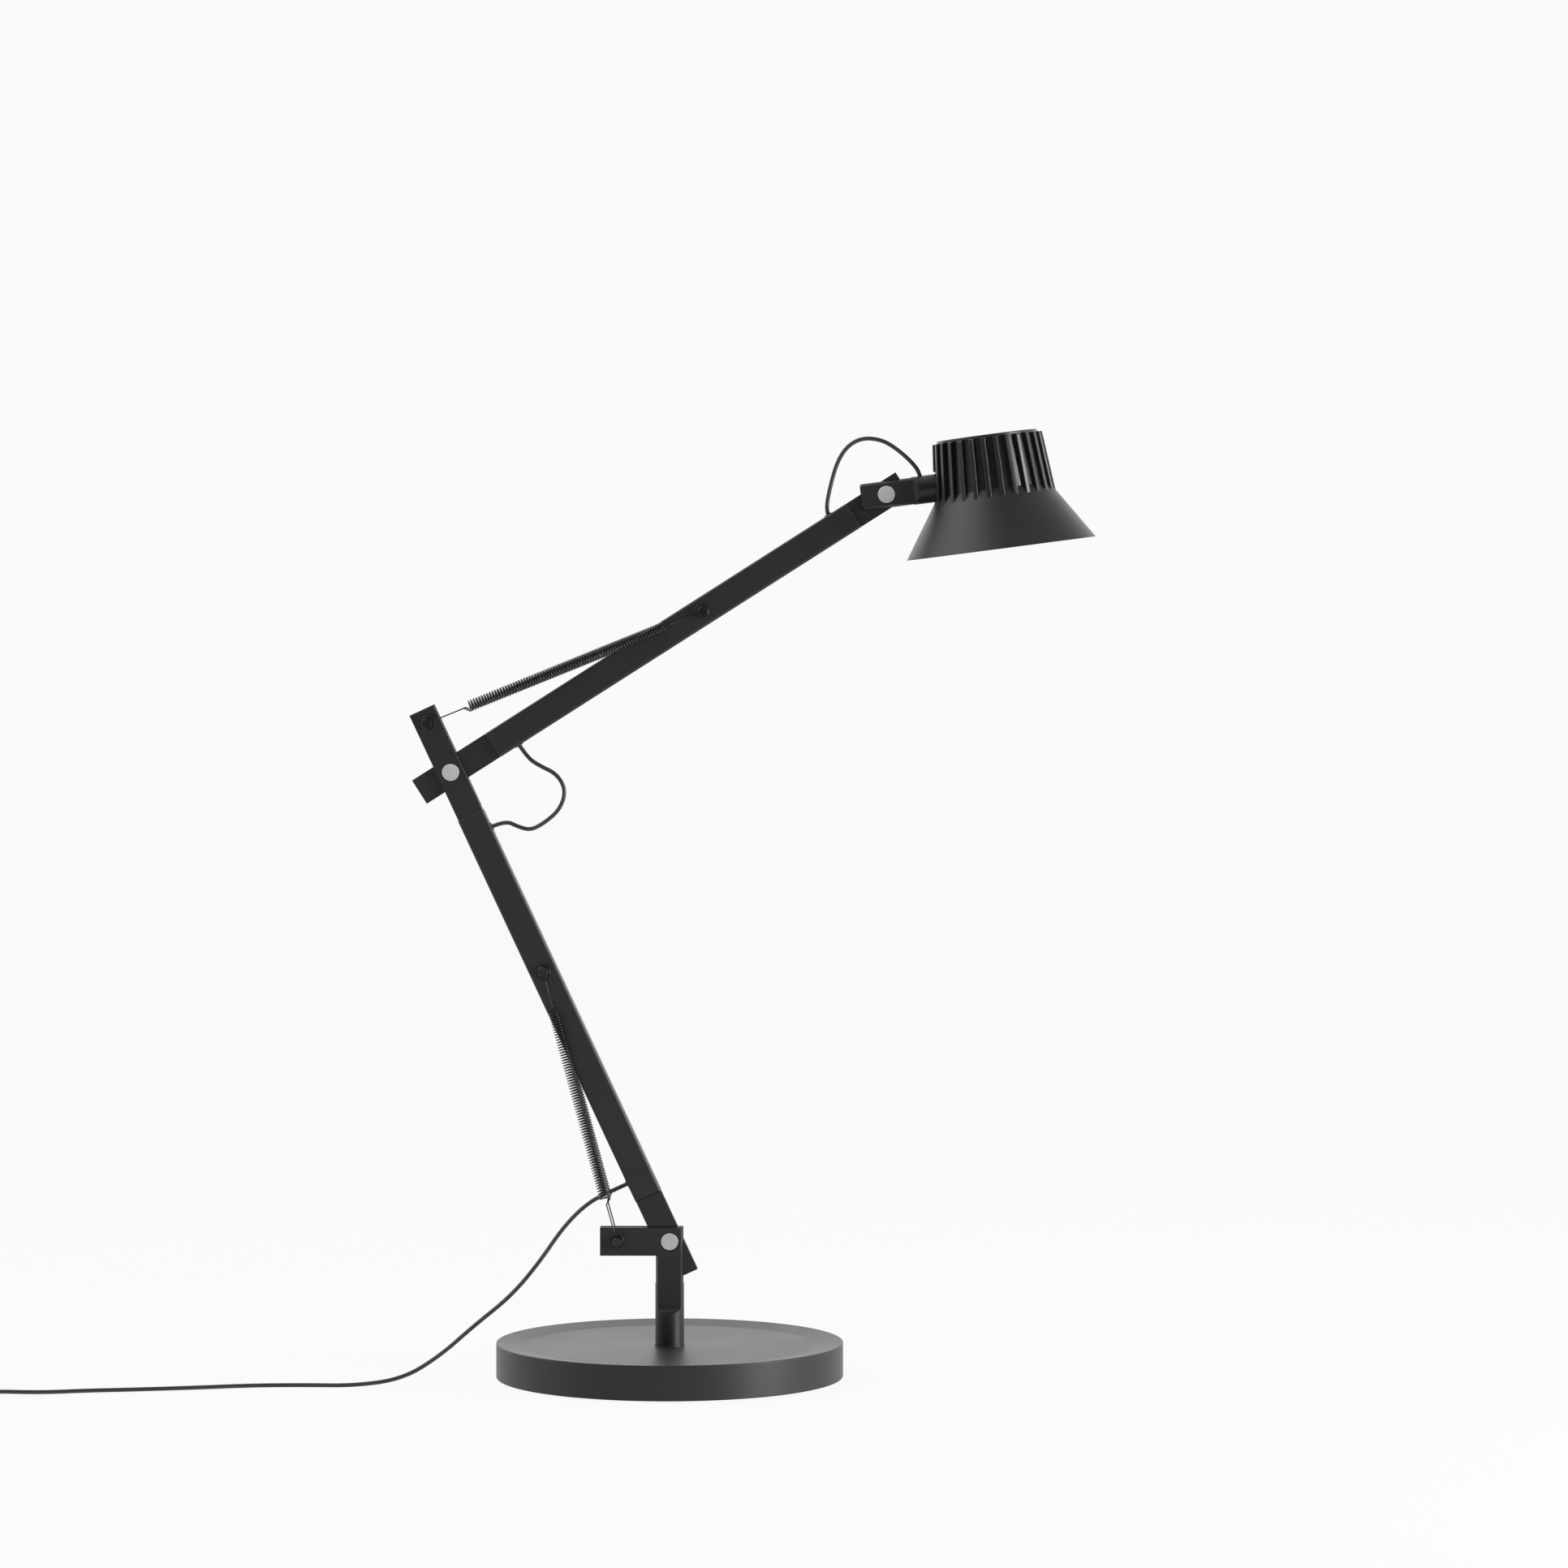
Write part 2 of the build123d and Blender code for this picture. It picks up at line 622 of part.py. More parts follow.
def spring_coils(name, frame, length):
    """The front and rear coils of one arm, each an unbroken tube with a coned end turn."""
    axial_start = ROOT_HOOK_LENGTH
    axial_length = length - ROOT_HOOK_LENGTH - ARM_HOOK_LENGTH
    level = frame.offset(SPRING_PLANE)

    def helix(turn):
        cone = min(1.0, turn, SPRING_TURNS - turn)
        radius = CONED_END_RADIUS + (SPRING_RADIUS - CONED_END_RADIUS) * max(0.0, cone)
        angle = 2 * pi * turn
        x = axial_start + axial_length * turn / SPRING_TURNS
        return level.from_local_coords(Vector(x, radius * cos(angle), radius * sin(angle)))

    steps = [0.5 * i for i in range(2 * SPRING_TURNS + 1)]
    front = wound_tube(name, helix, steps, SPRING_WIRE, 0, 0, 2 * pi * CONED_END_RADIUS)
    with BuildPart() as coils:
        add(front)
        with Locations((0, 2 * SPRING_PLANE, 0)):
            add(front)
    return coils.part


os.makedirs("parts", exist_ok=True)

# Base
with BuildPart() as base_cover:
    rim = BASE_DIAMETER / 2
    with BuildSketch(Plane.XZ):
        with BuildLine():
            Polyline(
                (BUSH_DIAMETER / 2 + SLIP_GAP, DISH_FLOOR),
                (rim - DISH_SLOPE_WIDTH, DISH_FLOOR),
                (rim, BASE_HEIGHT),
                (rim, COVER_LIFT),
                (COVER_BORE / 2, COVER_LIFT),
                (COVER_BORE / 2, COVER_CEILING),
                (BUSH_DIAMETER / 2 + SLIP_GAP, COVER_CEILING),
                close=True,
            )
        make_face()
    revolve(axis=Axis.Z)
    outer_edges = base_cover.edges().filter_by(GeomType.CIRCLE).group_by(SortBy.RADIUS)[-1]
    fillet(outer_edges, COVER_EDGE_FILLET)
    with PolarLocations(BASE_SCREW_CIRCLE / 2, BASE_SCREW_COUNT):
        with Locations((0, 0, COVER_CEILING)):
            Cylinder(
                BASE_SCREW_DIAMETER / 2 + SLIP_GAP, COVER_WALL, align=(Align.CENTER,) * 3, mode=Mode.SUBTRACT
            )
save(base_cover.part, "base_cover")

with BuildPart() as base_weight:
    with BuildSketch(Plane.XY.offset(PAD_THICKNESS)):
        Circle(COVER_BORE / 2 - SEAT_PLAY)
        Circle(BUSH_DIAMETER / 2 + SLIP_GAP, mode=Mode.SUBTRACT)
    extrude(amount=COVER_CEILING - PAD_THICKNESS)
    with BuildSketch(Plane.XY.offset(PAD_THICKNESS)):
        Circle(NUT_POCKET_DIAMETER / 2)
    extrude(amount=NUT_POCKET_DEPTH, mode=Mode.SUBTRACT)
    with Locations(Plane.XY.offset(PAD_THICKNESS)):
        with PolarLocations(BASE_SCREW_CIRCLE / 2, BASE_SCREW_COUNT):
            Cylinder(
                BASE_SCREW_DIAMETER / 2 + SLIP_GAP, 2 * BASE_HEIGHT, mode=Mode.SUBTRACT
            )
            Cylinder(
                BASE_SCREW_HEAD / 2 + SEAT_PLAY, 2 * BASE_SCREW_DIAMETER, mode=Mode.SUBTRACT
            )
save(base_weight.part, "base_weight")

save(disc(Plane.XY, PAD_DIAMETER / 2, PAD_THICKNESS), "base_pad")

with BuildPart() as base_screws:
    head_foot = PAD_THICKNESS + SEAT_PLAY
    head_top = PAD_THICKNESS + BASE_SCREW_DIAMETER
    shank_top = COVER_CEILING + COVER_WALL / 2 - SEAT_PLAY
    with PolarLocations(BASE_SCREW_CIRCLE / 2, BASE_SCREW_COUNT):
        with Locations((0, 0, head_foot)):
            Cylinder(
                BASE_SCREW_HEAD / 2, head_top - head_foot, align=(Align.CENTER, Align.CENTER, Align.MIN)
            )
            Cylinder(
                BASE_SCREW_DIAMETER / 2, shank_top - head_foot, align=(Align.CENTER, Align.CENTER, Align.MIN)
            )
save(base_screws.part, "base_screws")

with BuildPart() as swivel_bush:
    with BuildSketch(Plane.XY.offset(NUT_POCKET_TOP)):
        Circle(BUSH_DIAMETER / 2)
    extrude(amount=POST_FOOT - NUT_POCKET_TOP)
    with BuildSketch(Plane.XY.offset(DISH_FLOOR)):
        Circle(BUSH_FLANGE_DIAMETER / 2)
    extrude(amount=BUSH_FLANGE_THICKNESS)
    with BuildSketch(Plane.XY.offset(NUT_POCKET_TOP)):
        Circle(SPINDLE_DIAMETER / 2 + RUNNING_FIT)
    extrude(amount=POST_FOOT, mode=Mode.SUBTRACT)
save(swivel_bush.part, "swivel_bush")

# Post with its bracket
with BuildPart() as post_bracket:
    bracket_top = PIVOT_HEIGHT + BRACKET_WIDTH / 2
    post_frame = Plane(Vector(0, 0, 0), Vector(0, 0, -1), FRONT)
    with BuildSketch(Plane.XY.offset(POST_FOOT)):
        Circle(POST_DIAMETER / 2)
    extrude(amount=bracket_top - POST_FOOT)
    add(milled_flats(post_frame, -bracket_top - POST_DIAMETER, -FLAT_START_HEIGHT), mode=Mode.SUBTRACT)
    with BuildSketch(BRACKET_FRAME):
        with Locations((-BRACKET_REACH / 2, 0)):
            Rectangle(BRACKET_REACH, BRACKET_WIDTH)
    extrude(amount=FORK_DEPTH / 2, both=True)
    slot_width = 4 * BRACKET_REACH
    add(slot(post_frame, -bracket_top - CUT_PAST, -POST_SLOT_FLOOR, slot_width), mode=Mode.SUBTRACT)
    fillet(post_bracket.edges().filter_by(Axis.X).group_by(Axis.Y)[0], BRACKET_EDGE_FILLET)
    fillet(post_bracket.edges().filter_by(Axis.X).group_by(Axis.Y)[-1], BRACKET_EDGE_FILLET)
    add(fork_holes(BRACKET_FRAME), mode=Mode.SUBTRACT)
    with BuildSketch(BRACKET_FRAME):
        with Locations((-LOWER_ROOT_OFFSET, 0)):
            Circle(SPRING_PIN_DIAMETER / 2)
    extrude(amount=FORK_DEPTH, both=True, mode=Mode.SUBTRACT)
    with BuildSketch(Plane.XY.offset(POST_FOOT)):
        Circle(SPINDLE_DIAMETER / 2)
    extrude(amount=NUT_TOP - POST_FOOT + THRUST_WASHER_THICKNESS)
    with BuildSketch(Plane.XY.offset(POST_FOOT)):
        Circle(THREAD_DIAMETER / 2)
    extrude(amount=NUT_TOP - NUT_THICKNESS - POST_FOOT)
save(post_bracket.part, "post_bracket")

thrust_plane = Plane.XY.offset(NUT_TOP)
save(
    disc(
        thrust_plane, THRUST_WASHER_DIAMETER / 2, THRUST_WASHER_THICKNESS, THREAD_DIAMETER / 2 + SLIP_GAP
    ),
    "thrust_washer",
)

with BuildPart() as spindle_nut:
    with BuildSketch(thrust_plane):
        RegularPolygon(NUT_SIZE / 2, 6, major_radius=False)
        Circle(THREAD_DIAMETER / 2 + SLIP_GAP, mode=Mode.SUBTRACT)
    extrude(amount=-NUT_THICKNESS)
save(spindle_nut.part, "spindle_nut")

# Pivots
for pivot_name, pivot_frame in (
    ("lower_pivot", BRACKET_FRAME),
    ("elbow_pivot", FORK_FRAME),
    ("head_pivot", NECK_FRAME),
):
    save(pivot_pin(pivot_frame), f"{pivot_name}_pin")
    save(pivot_caps(pivot_frame), f"{pivot_name}_caps")
    save(friction_washers(pivot_frame), f"{pivot_name}_washers")

# Lower arm
save(
    tongue_end(LOWER_FRAME, FOOT_TAIL, FOOT_TO_COLLAR, FOOT_COLLAR, LOWER_FOOT_EXIT, 1, 1),
    "lower_arm_foot",
)
save(arm_tube(LOWER_FRAME, LOWER_TUBE_START, LOWER_TUBE_END), "lower_arm_tube")

with BuildPart() as lower_arm_fork:
    cheek_length = FORK_HEAD + FORK_TO_COLLAR + CUT_PAST
    with BuildSketch(FORK_FRAME):
        with Locations((FORK_HEAD - cheek_length / 2, 0)):
            Rectangle(cheek_length, FORK_WIDTH)
    extrude(amount=FORK_DEPTH / 2, both=True)
    front_edges = lower_arm_fork.faces().sort_by(Axis.Y)[0].edges()
    rear_edges = lower_arm_fork.faces().sort_by(Axis.Y)[-1].edges()
    fillet(front_edges + rear_edges, FORK_EDGE_FILLET)
    add(slot(FORK_FRAME, -FORK_SLOT_FLOOR, FORK_HEAD + CUT_PAST, 2 * FORK_WIDTH), mode=Mode.SUBTRACT)
    add(fork_holes(FORK_FRAME), mode=Mode.SUBTRACT)
    with BuildSketch(FORK_FRAME):
        with Locations((UPPER_ROOT_OFFSET, 0)):
            Circle(SPRING_PIN_DIAMETER / 2)
    extrude(amount=FORK_DEPTH, both=True, mode=Mode.SUBTRACT)
    add(collar_and_spigot(FORK_FRAME, -FORK_TO_COLLAR, -1, FORK_COLLAR, FORK_COLLAR_CHAMFER))
    add(cable_bore(FORK_FRAME, -FORK_EXIT, -1, -1, FORK_COLLAR + SPIGOT_LENGTH), mode=Mode.SUBTRACT)
    with BuildSketch(exit_plane(FORK_FRAME, -FORK_EXIT, -1, ARM_WIDTH / 2)):
        Circle(GROMMET_NECK / 2)
    extrude(amount=-GROMMET_DEPTH - SEAT_PLAY, mode=Mode.SUBTRACT)
save(lower_arm_fork.part, "lower_arm_fork")

save(arm_cable(LOWER_FRAME, LOWER_ARM_LENGTH, 1, LOWER_FOOT_EXIT, FORK_EXIT), "lower_arm_cable")

with BuildPart() as lower_arm_grommets:
    add(grommet(exit_plane(LOWER_FRAME, LOWER_FOOT_EXIT, 1, ARM_WIDTH / 2)))
    add(grommet(exit_plane(FORK_FRAME, -FORK_EXIT, -1, ARM_WIDTH / 2)))
save(lower_arm_grommets.part, "lower_arm_grommets")

# Upper arm
save(
    tongue_end(UPPER_FRAME, FOOT_TAIL, FOOT_TO_COLLAR, FOOT_COLLAR, UPPER_FOOT_EXIT, -1, 1),
    "upper_arm_foot",
)
save(arm_tube(UPPER_FRAME, LOWER_TUBE_START, UPPER_TUBE_END), "upper_arm_tube")
save(
    tongue_end(TIP_FRAME, TIP_TAIL, TIP_TO_COLLAR, TIP_COLLAR, -TIP_EXIT, 1, -1),
    "upper_arm_tip",
)
save(arm_cable(UPPER_FRAME, UPPER_ARM_LENGTH, -1, UPPER_FOOT_EXIT, TIP_EXIT), "upper_arm_cable")

with BuildPart() as upper_arm_grommets:
    add(grommet(exit_plane(UPPER_FRAME, UPPER_FOOT_EXIT, -1, ARM_WIDTH / 2)))
    add(grommet(exit_plane(TIP_FRAME, -TIP_EXIT, 1, ARM_WIDTH / 2)))
save(upper_arm_grommets.part, "upper_arm_grommets")

# Spring pins and springs
save(spring_pin(BRACKET_FRAME, -LOWER_ROOT_OFFSET), "lower_spring_root_pin")
save(spring_pin(LOWER_FRAME, SPRING_ARM_OFFSET), "lower_spring_arm_pin")
save(spring_pin(FORK_FRAME, UPPER_ROOT_OFFSET), "upper_spring_root_pin")
save(spring_pin(UPPER_FRAME, SPRING_ARM_OFFSET), "upper_spring_arm_pin")

for spring_name, root_frame, root_x, arm_frame in (
    ("lower_spring", BRACKET_FRAME, -LOWER_ROOT_OFFSET, LOWER_FRAME),
    ("upper_spring", FORK_FRAME, UPPER_ROOT_OFFSET, UPPER_FRAME),
):
    root_point = root_frame.from_local_coords(Vector(root_x, 0, 0))
    arm_point = arm_frame.from_local_coords(Vector(SPRING_ARM_OFFSET, 0, 0))
    spring_length = (arm_point - root_point).length
    along = spring_frame(root_point, arm_point)
    print(spring_name, "pin to pin", round(spring_length, 2), "root", root_point, "axis", along.x_dir)
    save(spring_hooks(along, 0, 1, ROOT_HOOK_LENGTH), f"{spring_name}_root_hooks")
    save(spring_hooks(along, spring_length, -1, ARM_HOOK_LENGTH), f"{spring_name}_arm_hooks")
    save(spring_coils(spring_name, along, spring_length), f"{spring_name}_coils")

# Neck of the lamp head
neck_exit_height = NECK_SPOT_FACE + GROMMET_STAND
with BuildPart() as neck_fork:
    with BuildSketch(cross_plane(NECK_FRAME, -NECK_TAIL)):
        Circle(NECK_DIAMETER / 2)
    extrude(amount=NECK_TAIL + NECK_END)
    chamfer(neck_fork.faces().sort_by(Axis(HEAD_PIVOT, HEAD_DIRECTION))[0].edges(), COLLAR_EDGE_CHAMFER)
    add(milled_flats(NECK_FRAME, -NECK_TAIL - NECK_DIAMETER, NECK_FLAT_END), mode=Mode.SUBTRACT)
    add(slot(NECK_FRAME, -NECK_TAIL - CUT_PAST, NECK_SLOT_END, 2 * NECK_DIAMETER), mode=Mode.SUBTRACT)
    add(fork_holes(NECK_FRAME), mode=Mode.SUBTRACT)
    with BuildSketch(cross_plane(NECK_FRAME, NECK_END)):
        Circle(NECK_SPIGOT_DIAMETER / 2)
    extrude(amount=NECK_SPIGOT_END - NECK_END)
    neck_route = [
        NECK_FRAME.from_local_coords(Vector(p))
        for p in (
            (NECK_EXIT, neck_exit_height, 0),
            (NECK_EXIT, 0, 0),
            (NECK_SPIGOT_END, 0, 0),
        )
    ]
    add(tube_along(neck_route, [NECK_CABLE_BEND], CABLE_BORE)[0], mode=Mode.SUBTRACT)
    with BuildSketch(exit_plane(NECK_FRAME, NECK_EXIT, 1, NECK_SPOT_FACE)):
        Circle(GROMMET_FLANGE / 2 + SEAT_PLAY)
    extrude(amount=NECK_DIAMETER, mode=Mode.SUBTRACT)
    with BuildSketch(exit_plane(NECK_FRAME, NECK_EXIT, 1, NECK_SPOT_FACE)):
        Circle(GROMMET_NECK / 2)
    extrude(amount=-GROMMET_DEPTH - SEAT_PLAY, mode=Mode.SUBTRACT)
save(neck_fork.part, "neck_fork")
save(tube_along(neck_route, [NECK_CABLE_BEND], CORD_DIAMETER)[0], "neck_cable")
save(grommet(exit_plane(NECK_FRAME, NECK_EXIT, 1, NECK_SPOT_FACE)), "neck_grommet")

retainer_plane = cross_plane(NECK_FRAME, NECK_SPIGOT_END - RETAINER_END_MARGIN)
save(
    disc(
        retainer_plane,
        RETAINER_DIAMETER / 2,
        -RETAINER_THICKNESS,
        NECK_SPIGOT_DIAMETER / 2 + SLIP_GAP,
    ),
    "neck_retainer",
)

# Heat sink: a turned core with radial fins, bored for the neck
core = turned(
    [
        (WIRE_HOLE_RADIUS, CAVITY_TOP),
        (CAVITY_RADIUS, CAVITY_TOP),
        (CAVITY_RADIUS, CORE_SKIRT_FOOT),
        (CORE_SKIRT_RADIUS, CORE_SKIRT_FOOT),
        (CORE_SKIRT_RADIUS, CORE_FOOT),
        (CORE_FOOT_RADIUS, CORE_FOOT),
        (CORE_TOP_RADIUS, FIN_TOP),
        (POCKET_RADIUS, FIN_TOP),
        (POCKET_RADIUS, POCKET_FLOOR),
        (WIRE_HOLE_RADIUS, POCKET_FLOOR),
    ]
)
fin_slope = (FIN_FOOT_RADIUS - FIN_TOP_RADIUS) / (FIN_TOP - FIN_FOOT)
fin_root_top = CORE_TOP_RADIUS - FIN_ROOT
fin_root_foot = CORE_FOOT_RADIUS - FIN_FOOT_ROOT
neck_clear = NECK_DIAMETER / 2 + FIN_NECK_CLEARANCE
neck_clear_radius = FIN_TOP_RADIUS + (FIN_TOP - neck_clear) * fin_slope
full_fin = [
    (fin_root_top, FIN_TOP),
    (FIN_TOP_RADIUS, FIN_TOP),
    (FIN_FOOT_RADIUS, FIN_FOOT),
    (CORE_FOOT_RADIUS, CORE_FOOT),
    (fin_root_foot, CORE_FOOT),
]
short_fin = [
    (fin_root_top, FIN_TOP),
    (FIN_TOP_RADIUS, FIN_TOP),
    (neck_clear_radius, neck_clear),
    (fin_root_top, neck_clear),
]


def fin(outline, outward):
    """One fin, with its outer edges rounded down to its foot."""
    with BuildPart() as piece:
        with BuildSketch(Plane(HEAD_CENTRE, outward, outward.cross(HEAD_UP))):
            with BuildLine():
                Polyline(*outline, close=True)
            make_face()
        extrude(amount=FIN_THICKNESS / 2, both=True)
        outer_face = piece.faces().sort_by(lambda face: face.normal_at().dot(outward))[-1]
        fillet(outer_face.edges().sort_by(Axis(HEAD_CENTRE, HEAD_UP))[1:], FIN_EDGE_FILLET)
    return piece.part


fins = []
for index in range(FIN_COUNT):
    fin_angle = 2 * pi * (index + 0.5) / FIN_COUNT
    fin_outward = HEAD_DIRECTION * cos(fin_angle) + Vector(0, 1, 0) * sin(fin_angle)
    over_neck = cos(fin_angle) < 0 and abs(FIN_FOOT_RADIUS * sin(fin_angle)) < neck_clear
    fins.append(fin(short_fin if over_neck else full_fin, fin_outward))

with BuildPart() as heat_sink:
    add(core)
    add(fins)
    seat_plane = cross_plane(HEAD_FRAME, -NECK_SEAT_RADIUS)
    with BuildSketch(seat_plane):
        Circle(NECK_DIAMETER / 2 + NECK_SEAT_GAP)
    extrude(amount=-NECK_DIAMETER, mode=Mode.SUBTRACT)
    with BuildSketch(seat_plane):
        Circle(NECK_SPIGOT_DIAMETER / 2 + RUNNING_FIT)
    extrude(amount=NECK_SEAT_RADIUS / 2, mode=Mode.SUBTRACT)
    for index in range(PLATE_SCREW_COUNT):
        screw_angle = 2 * pi * index / PLATE_SCREW_COUNT
        outward = HEAD_DIRECTION * cos(screw_angle) + Vector(0, 1, 0) * sin(screw_angle)
        screw_foot = HEAD_CENTRE + outward * PLATE_SCREW_RADIUS + HEAD_UP * CORE_SKIRT_FOOT
        with BuildSketch(Plane(screw_foot, HEAD_DIRECTION, HEAD_UP)):
            Circle(PLATE_SCREW_DIAMETER / 2)
        extrude(amount=PLATE_SCREW_GRIP + SEAT_PLAY, mode=Mode.SUBTRACT)
save(heat_sink.part, "heat_sink")

# Shade: a spun cone under the fins, notched for the neck
wall_across = SHADE_WALL / cos(atan2(CONE_SLOPE, 1))
flange_foot = CORE_FOOT - SHADE_FLANGE
with BuildPart() as shade:
    add(
        turned(
            [
                (CORE_SKIRT_RADIUS + SHADE_SKIRT_GAP, CORE_FOOT),
                (CORE_FOOT_RADIUS, CORE_FOOT),
                (RIM_RADIUS, RIM_FOOT),
                (RIM_RADIUS - wall_across, RIM_FOOT),
                (cone_radius(flange_foot) - wall_across, flange_foot),
                (CORE_SKIRT_RADIUS + SHADE_SKIRT_GAP, flange_foot),
            ]
        )
    )
    with BuildSketch(seat_plane):
        Circle(NECK_DIAMETER / 2 + NECK_SEAT_GAP)
    extrude(amount=-NECK_DIAMETER, mode=Mode.SUBTRACT)
save(shade.part, "shade")

with BuildPart() as top_cap:
    add(
        turned(
            [
                (BUTTON_RADIUS + BUTTON_FIT, FIN_TOP),
                (CAP_COVER_RADIUS, FIN_TOP),
                (CAP_COVER_RADIUS, CAP_COVER_TOP - CAP_COVER_CHAMFER),
                (CAP_COVER_RADIUS - CAP_COVER_CHAMFER, CAP_COVER_TOP),
                (BUTTON_RADIUS + BUTTON_FIT, CAP_COVER_TOP),
            ]
        )
    )
save(top_cap.part, "top_cap")

with BuildPart() as dimmer_button:
    button_top = CAP_COVER_TOP - BUTTON_RECESS
    add(
        turned(
            [
                (0, BUTTON_FLANGE_TOP - BUTTON_FLANGE),
                (BUTTON_FLANGE_RADIUS, BUTTON_FLANGE_TOP - BUTTON_FLANGE),
                (BUTTON_FLANGE_RADIUS, BUTTON_FLANGE_TOP),
                (BUTTON_RADIUS, BUTTON_FLANGE_TOP),
                (BUTTON_RADIUS, button_top),
                (0, button_top),
            ]
        )
    )
    fillet(dimmer_button.edges().sort_by(HEAD_AXIS)[-1], BUTTON_ROUND)
save(dimmer_button.part, "dimmer_button")

head_level = Plane(HEAD_CENTRE, HEAD_DIRECTION, HEAD_UP)
save(disc(head_level.offset(POCKET_FLOOR), SWITCH_RADIUS, SWITCH_TOP - POCKET_FLOOR), "switch_module")

# Light source
with BuildPart() as light_plate:
    with BuildSketch(head_level.offset(PLATE_FOOT)):
        Circle(CORE_SKIRT_RADIUS)
        with PolarLocations(PLATE_SCREW_RADIUS, PLATE_SCREW_COUNT):
            Circle(PLATE_SCREW_DIAMETER / 2 + SEAT_PLAY, mode=Mode.SUBTRACT)
    extrude(amount=LIGHT_PLATE_THICKNESS)
save(light_plate.part, "light_plate")

with BuildPart() as plate_screws:
    with BuildSketch(head_level.offset(PLATE_FOOT)):
        with PolarLocations(PLATE_SCREW_RADIUS, PLATE_SCREW_COUNT):
            Circle(PLATE_SCREW_HEAD / 2)
    extrude(amount=-PLATE_SCREW_HEAD_HEIGHT)
    with BuildSketch(head_level.offset(PLATE_FOOT)):
        with PolarLocations(PLATE_SCREW_RADIUS, PLATE_SCREW_COUNT):
            Circle(PLATE_SCREW_DIAMETER / 2)
    extrude(amount=LIGHT_PLATE_THICKNESS + PLATE_SCREW_GRIP)
save(plate_screws.part, "plate_screws")

with BuildPart() as light_chip:
    with BuildSketch(head_level.offset(PLATE_FOOT)):
        RectangleRounded(CHIP_SIZE, CHIP_SIZE, CHIP_THICKNESS)
    extrude(amount=-CHIP_THICKNESS)
save(light_chip.part, "light_chip")

reflector = turned(
    [
        (REFLECTOR_THROAT, PLATE_FOOT),
        (REFLECTOR_FLANGE, PLATE_FOOT),
        (REFLECTOR_LIP, MOUTH_TOP + REFLECTOR_WALL),
        (REFLECTOR_LIP, MOUTH_TOP - REFLECTOR_LIP_HEIGHT),
        (REFLECTOR_MOUTH, MOUTH_TOP - REFLECTOR_LIP_HEIGHT),
        (REFLECTOR_MOUTH, MOUTH_TOP),
    ]
)
save(reflector, "reflector")

diffuser_top = MOUTH_TOP - SEAT_PLAY
diffuser_foot = diffuser_top - DIFFUSER_THICKNESS
save(
    disc(head_level.offset(diffuser_foot), REFLECTOR_MOUTH - 2 * SEAT_PLAY, DIFFUSER_THICKNESS), "diffuser"
)

ring_inner = REFLECTOR_LIP + SEAT_PLAY
diffuser_ring = turned(
    [
        (DIFFUSER_RING_BORE, diffuser_foot - SLIP_GAP),
        (ring_inner, diffuser_foot - SLIP_GAP),
        (ring_inner, MOUTH_TOP - SEAT_PLAY),
        (ring_inner + DIFFUSER_RING_WALL, MOUTH_TOP - SEAT_PLAY),
        (ring_inner + DIFFUSER_RING_WALL, diffuser_foot - DIFFUSER_RING_WALL),
        (DIFFUSER_RING_BORE, diffuser_foot - DIFFUSER_RING_WALL),
    ]
)
save(diffuser_ring, "diffuser_ring")

# Free cords, from grommet to grommet and down to the table
elbow_cord_points = [
    UPPER_FRAME.from_local_coords(Vector(UPPER_FOOT_EXIT, -CORD_EXIT_DEPTH, 0)),
    UPPER_FRAME.from_local_coords(Vector(UPPER_FOOT_EXIT, -CORD_EXIT_DEPTH - ELBOW_EXIT_RUN, 0)),
    ELBOW + Vector(51.0, -1.5, 3.7),
    ELBOW + Vector(61.0, -2.5, -0.9),
    ELBOW + Vector(66.3, -3.0, -10.4),
    ELBOW + Vector(62.7, -3.0, -21.4),
    ELBOW + Vector(54.0, -2.5, -28.9),
    ELBOW + Vector(46.0, -2.0, -33.3),
    ELBOW + Vector(38.8, -1.0, -31.5),
    FORK_FRAME.from_local_coords(Vector(-FORK_EXIT, -CORD_EXIT_DEPTH - ELBOW_EXIT_RUN, 0)),
    FORK_FRAME.from_local_coords(Vector(-FORK_EXIT, -CORD_EXIT_DEPTH, 0)),
]
save(free_cord("elbow_cord", elbow_cord_points), "elbow_cord")

head_cord_points = [
    TIP_FRAME.from_local_coords(Vector(-TIP_EXIT, CORD_EXIT_DEPTH, 0)),
    TIP_FRAME.from_local_coords(Vector(-TIP_EXIT, CORD_EXIT_DEPTH + HEAD_EXIT_RUN, 0)),
    HEAD_PIVOT + Vector(-31.9, -0.6, 6.1),
    HEAD_PIVOT + Vector(-28.0, -1.4, 19.2),
    HEAD_PIVOT + Vector(-22.0, -2.2, 28.2),
    HEAD_PIVOT + Vector(-13.4, -2.8, 32.4),
    HEAD_PIVOT + Vector(-3.2, -2.8, 31.3),
    HEAD_PIVOT + Vector(4.6, -2.0, 27.1),
    HEAD_PIVOT + Vector(13.7, -0.9, 19.4),
    NECK_FRAME.from_local_coords(Vector(NECK_EXIT, neck_exit_height + HEAD_EXIT_RUN, 0)),
    NECK_FRAME.from_local_coords(Vector(NECK_EXIT, neck_exit_height, 0)),
]
save(free_cord("head_cord", head_cord_points), "head_cord")

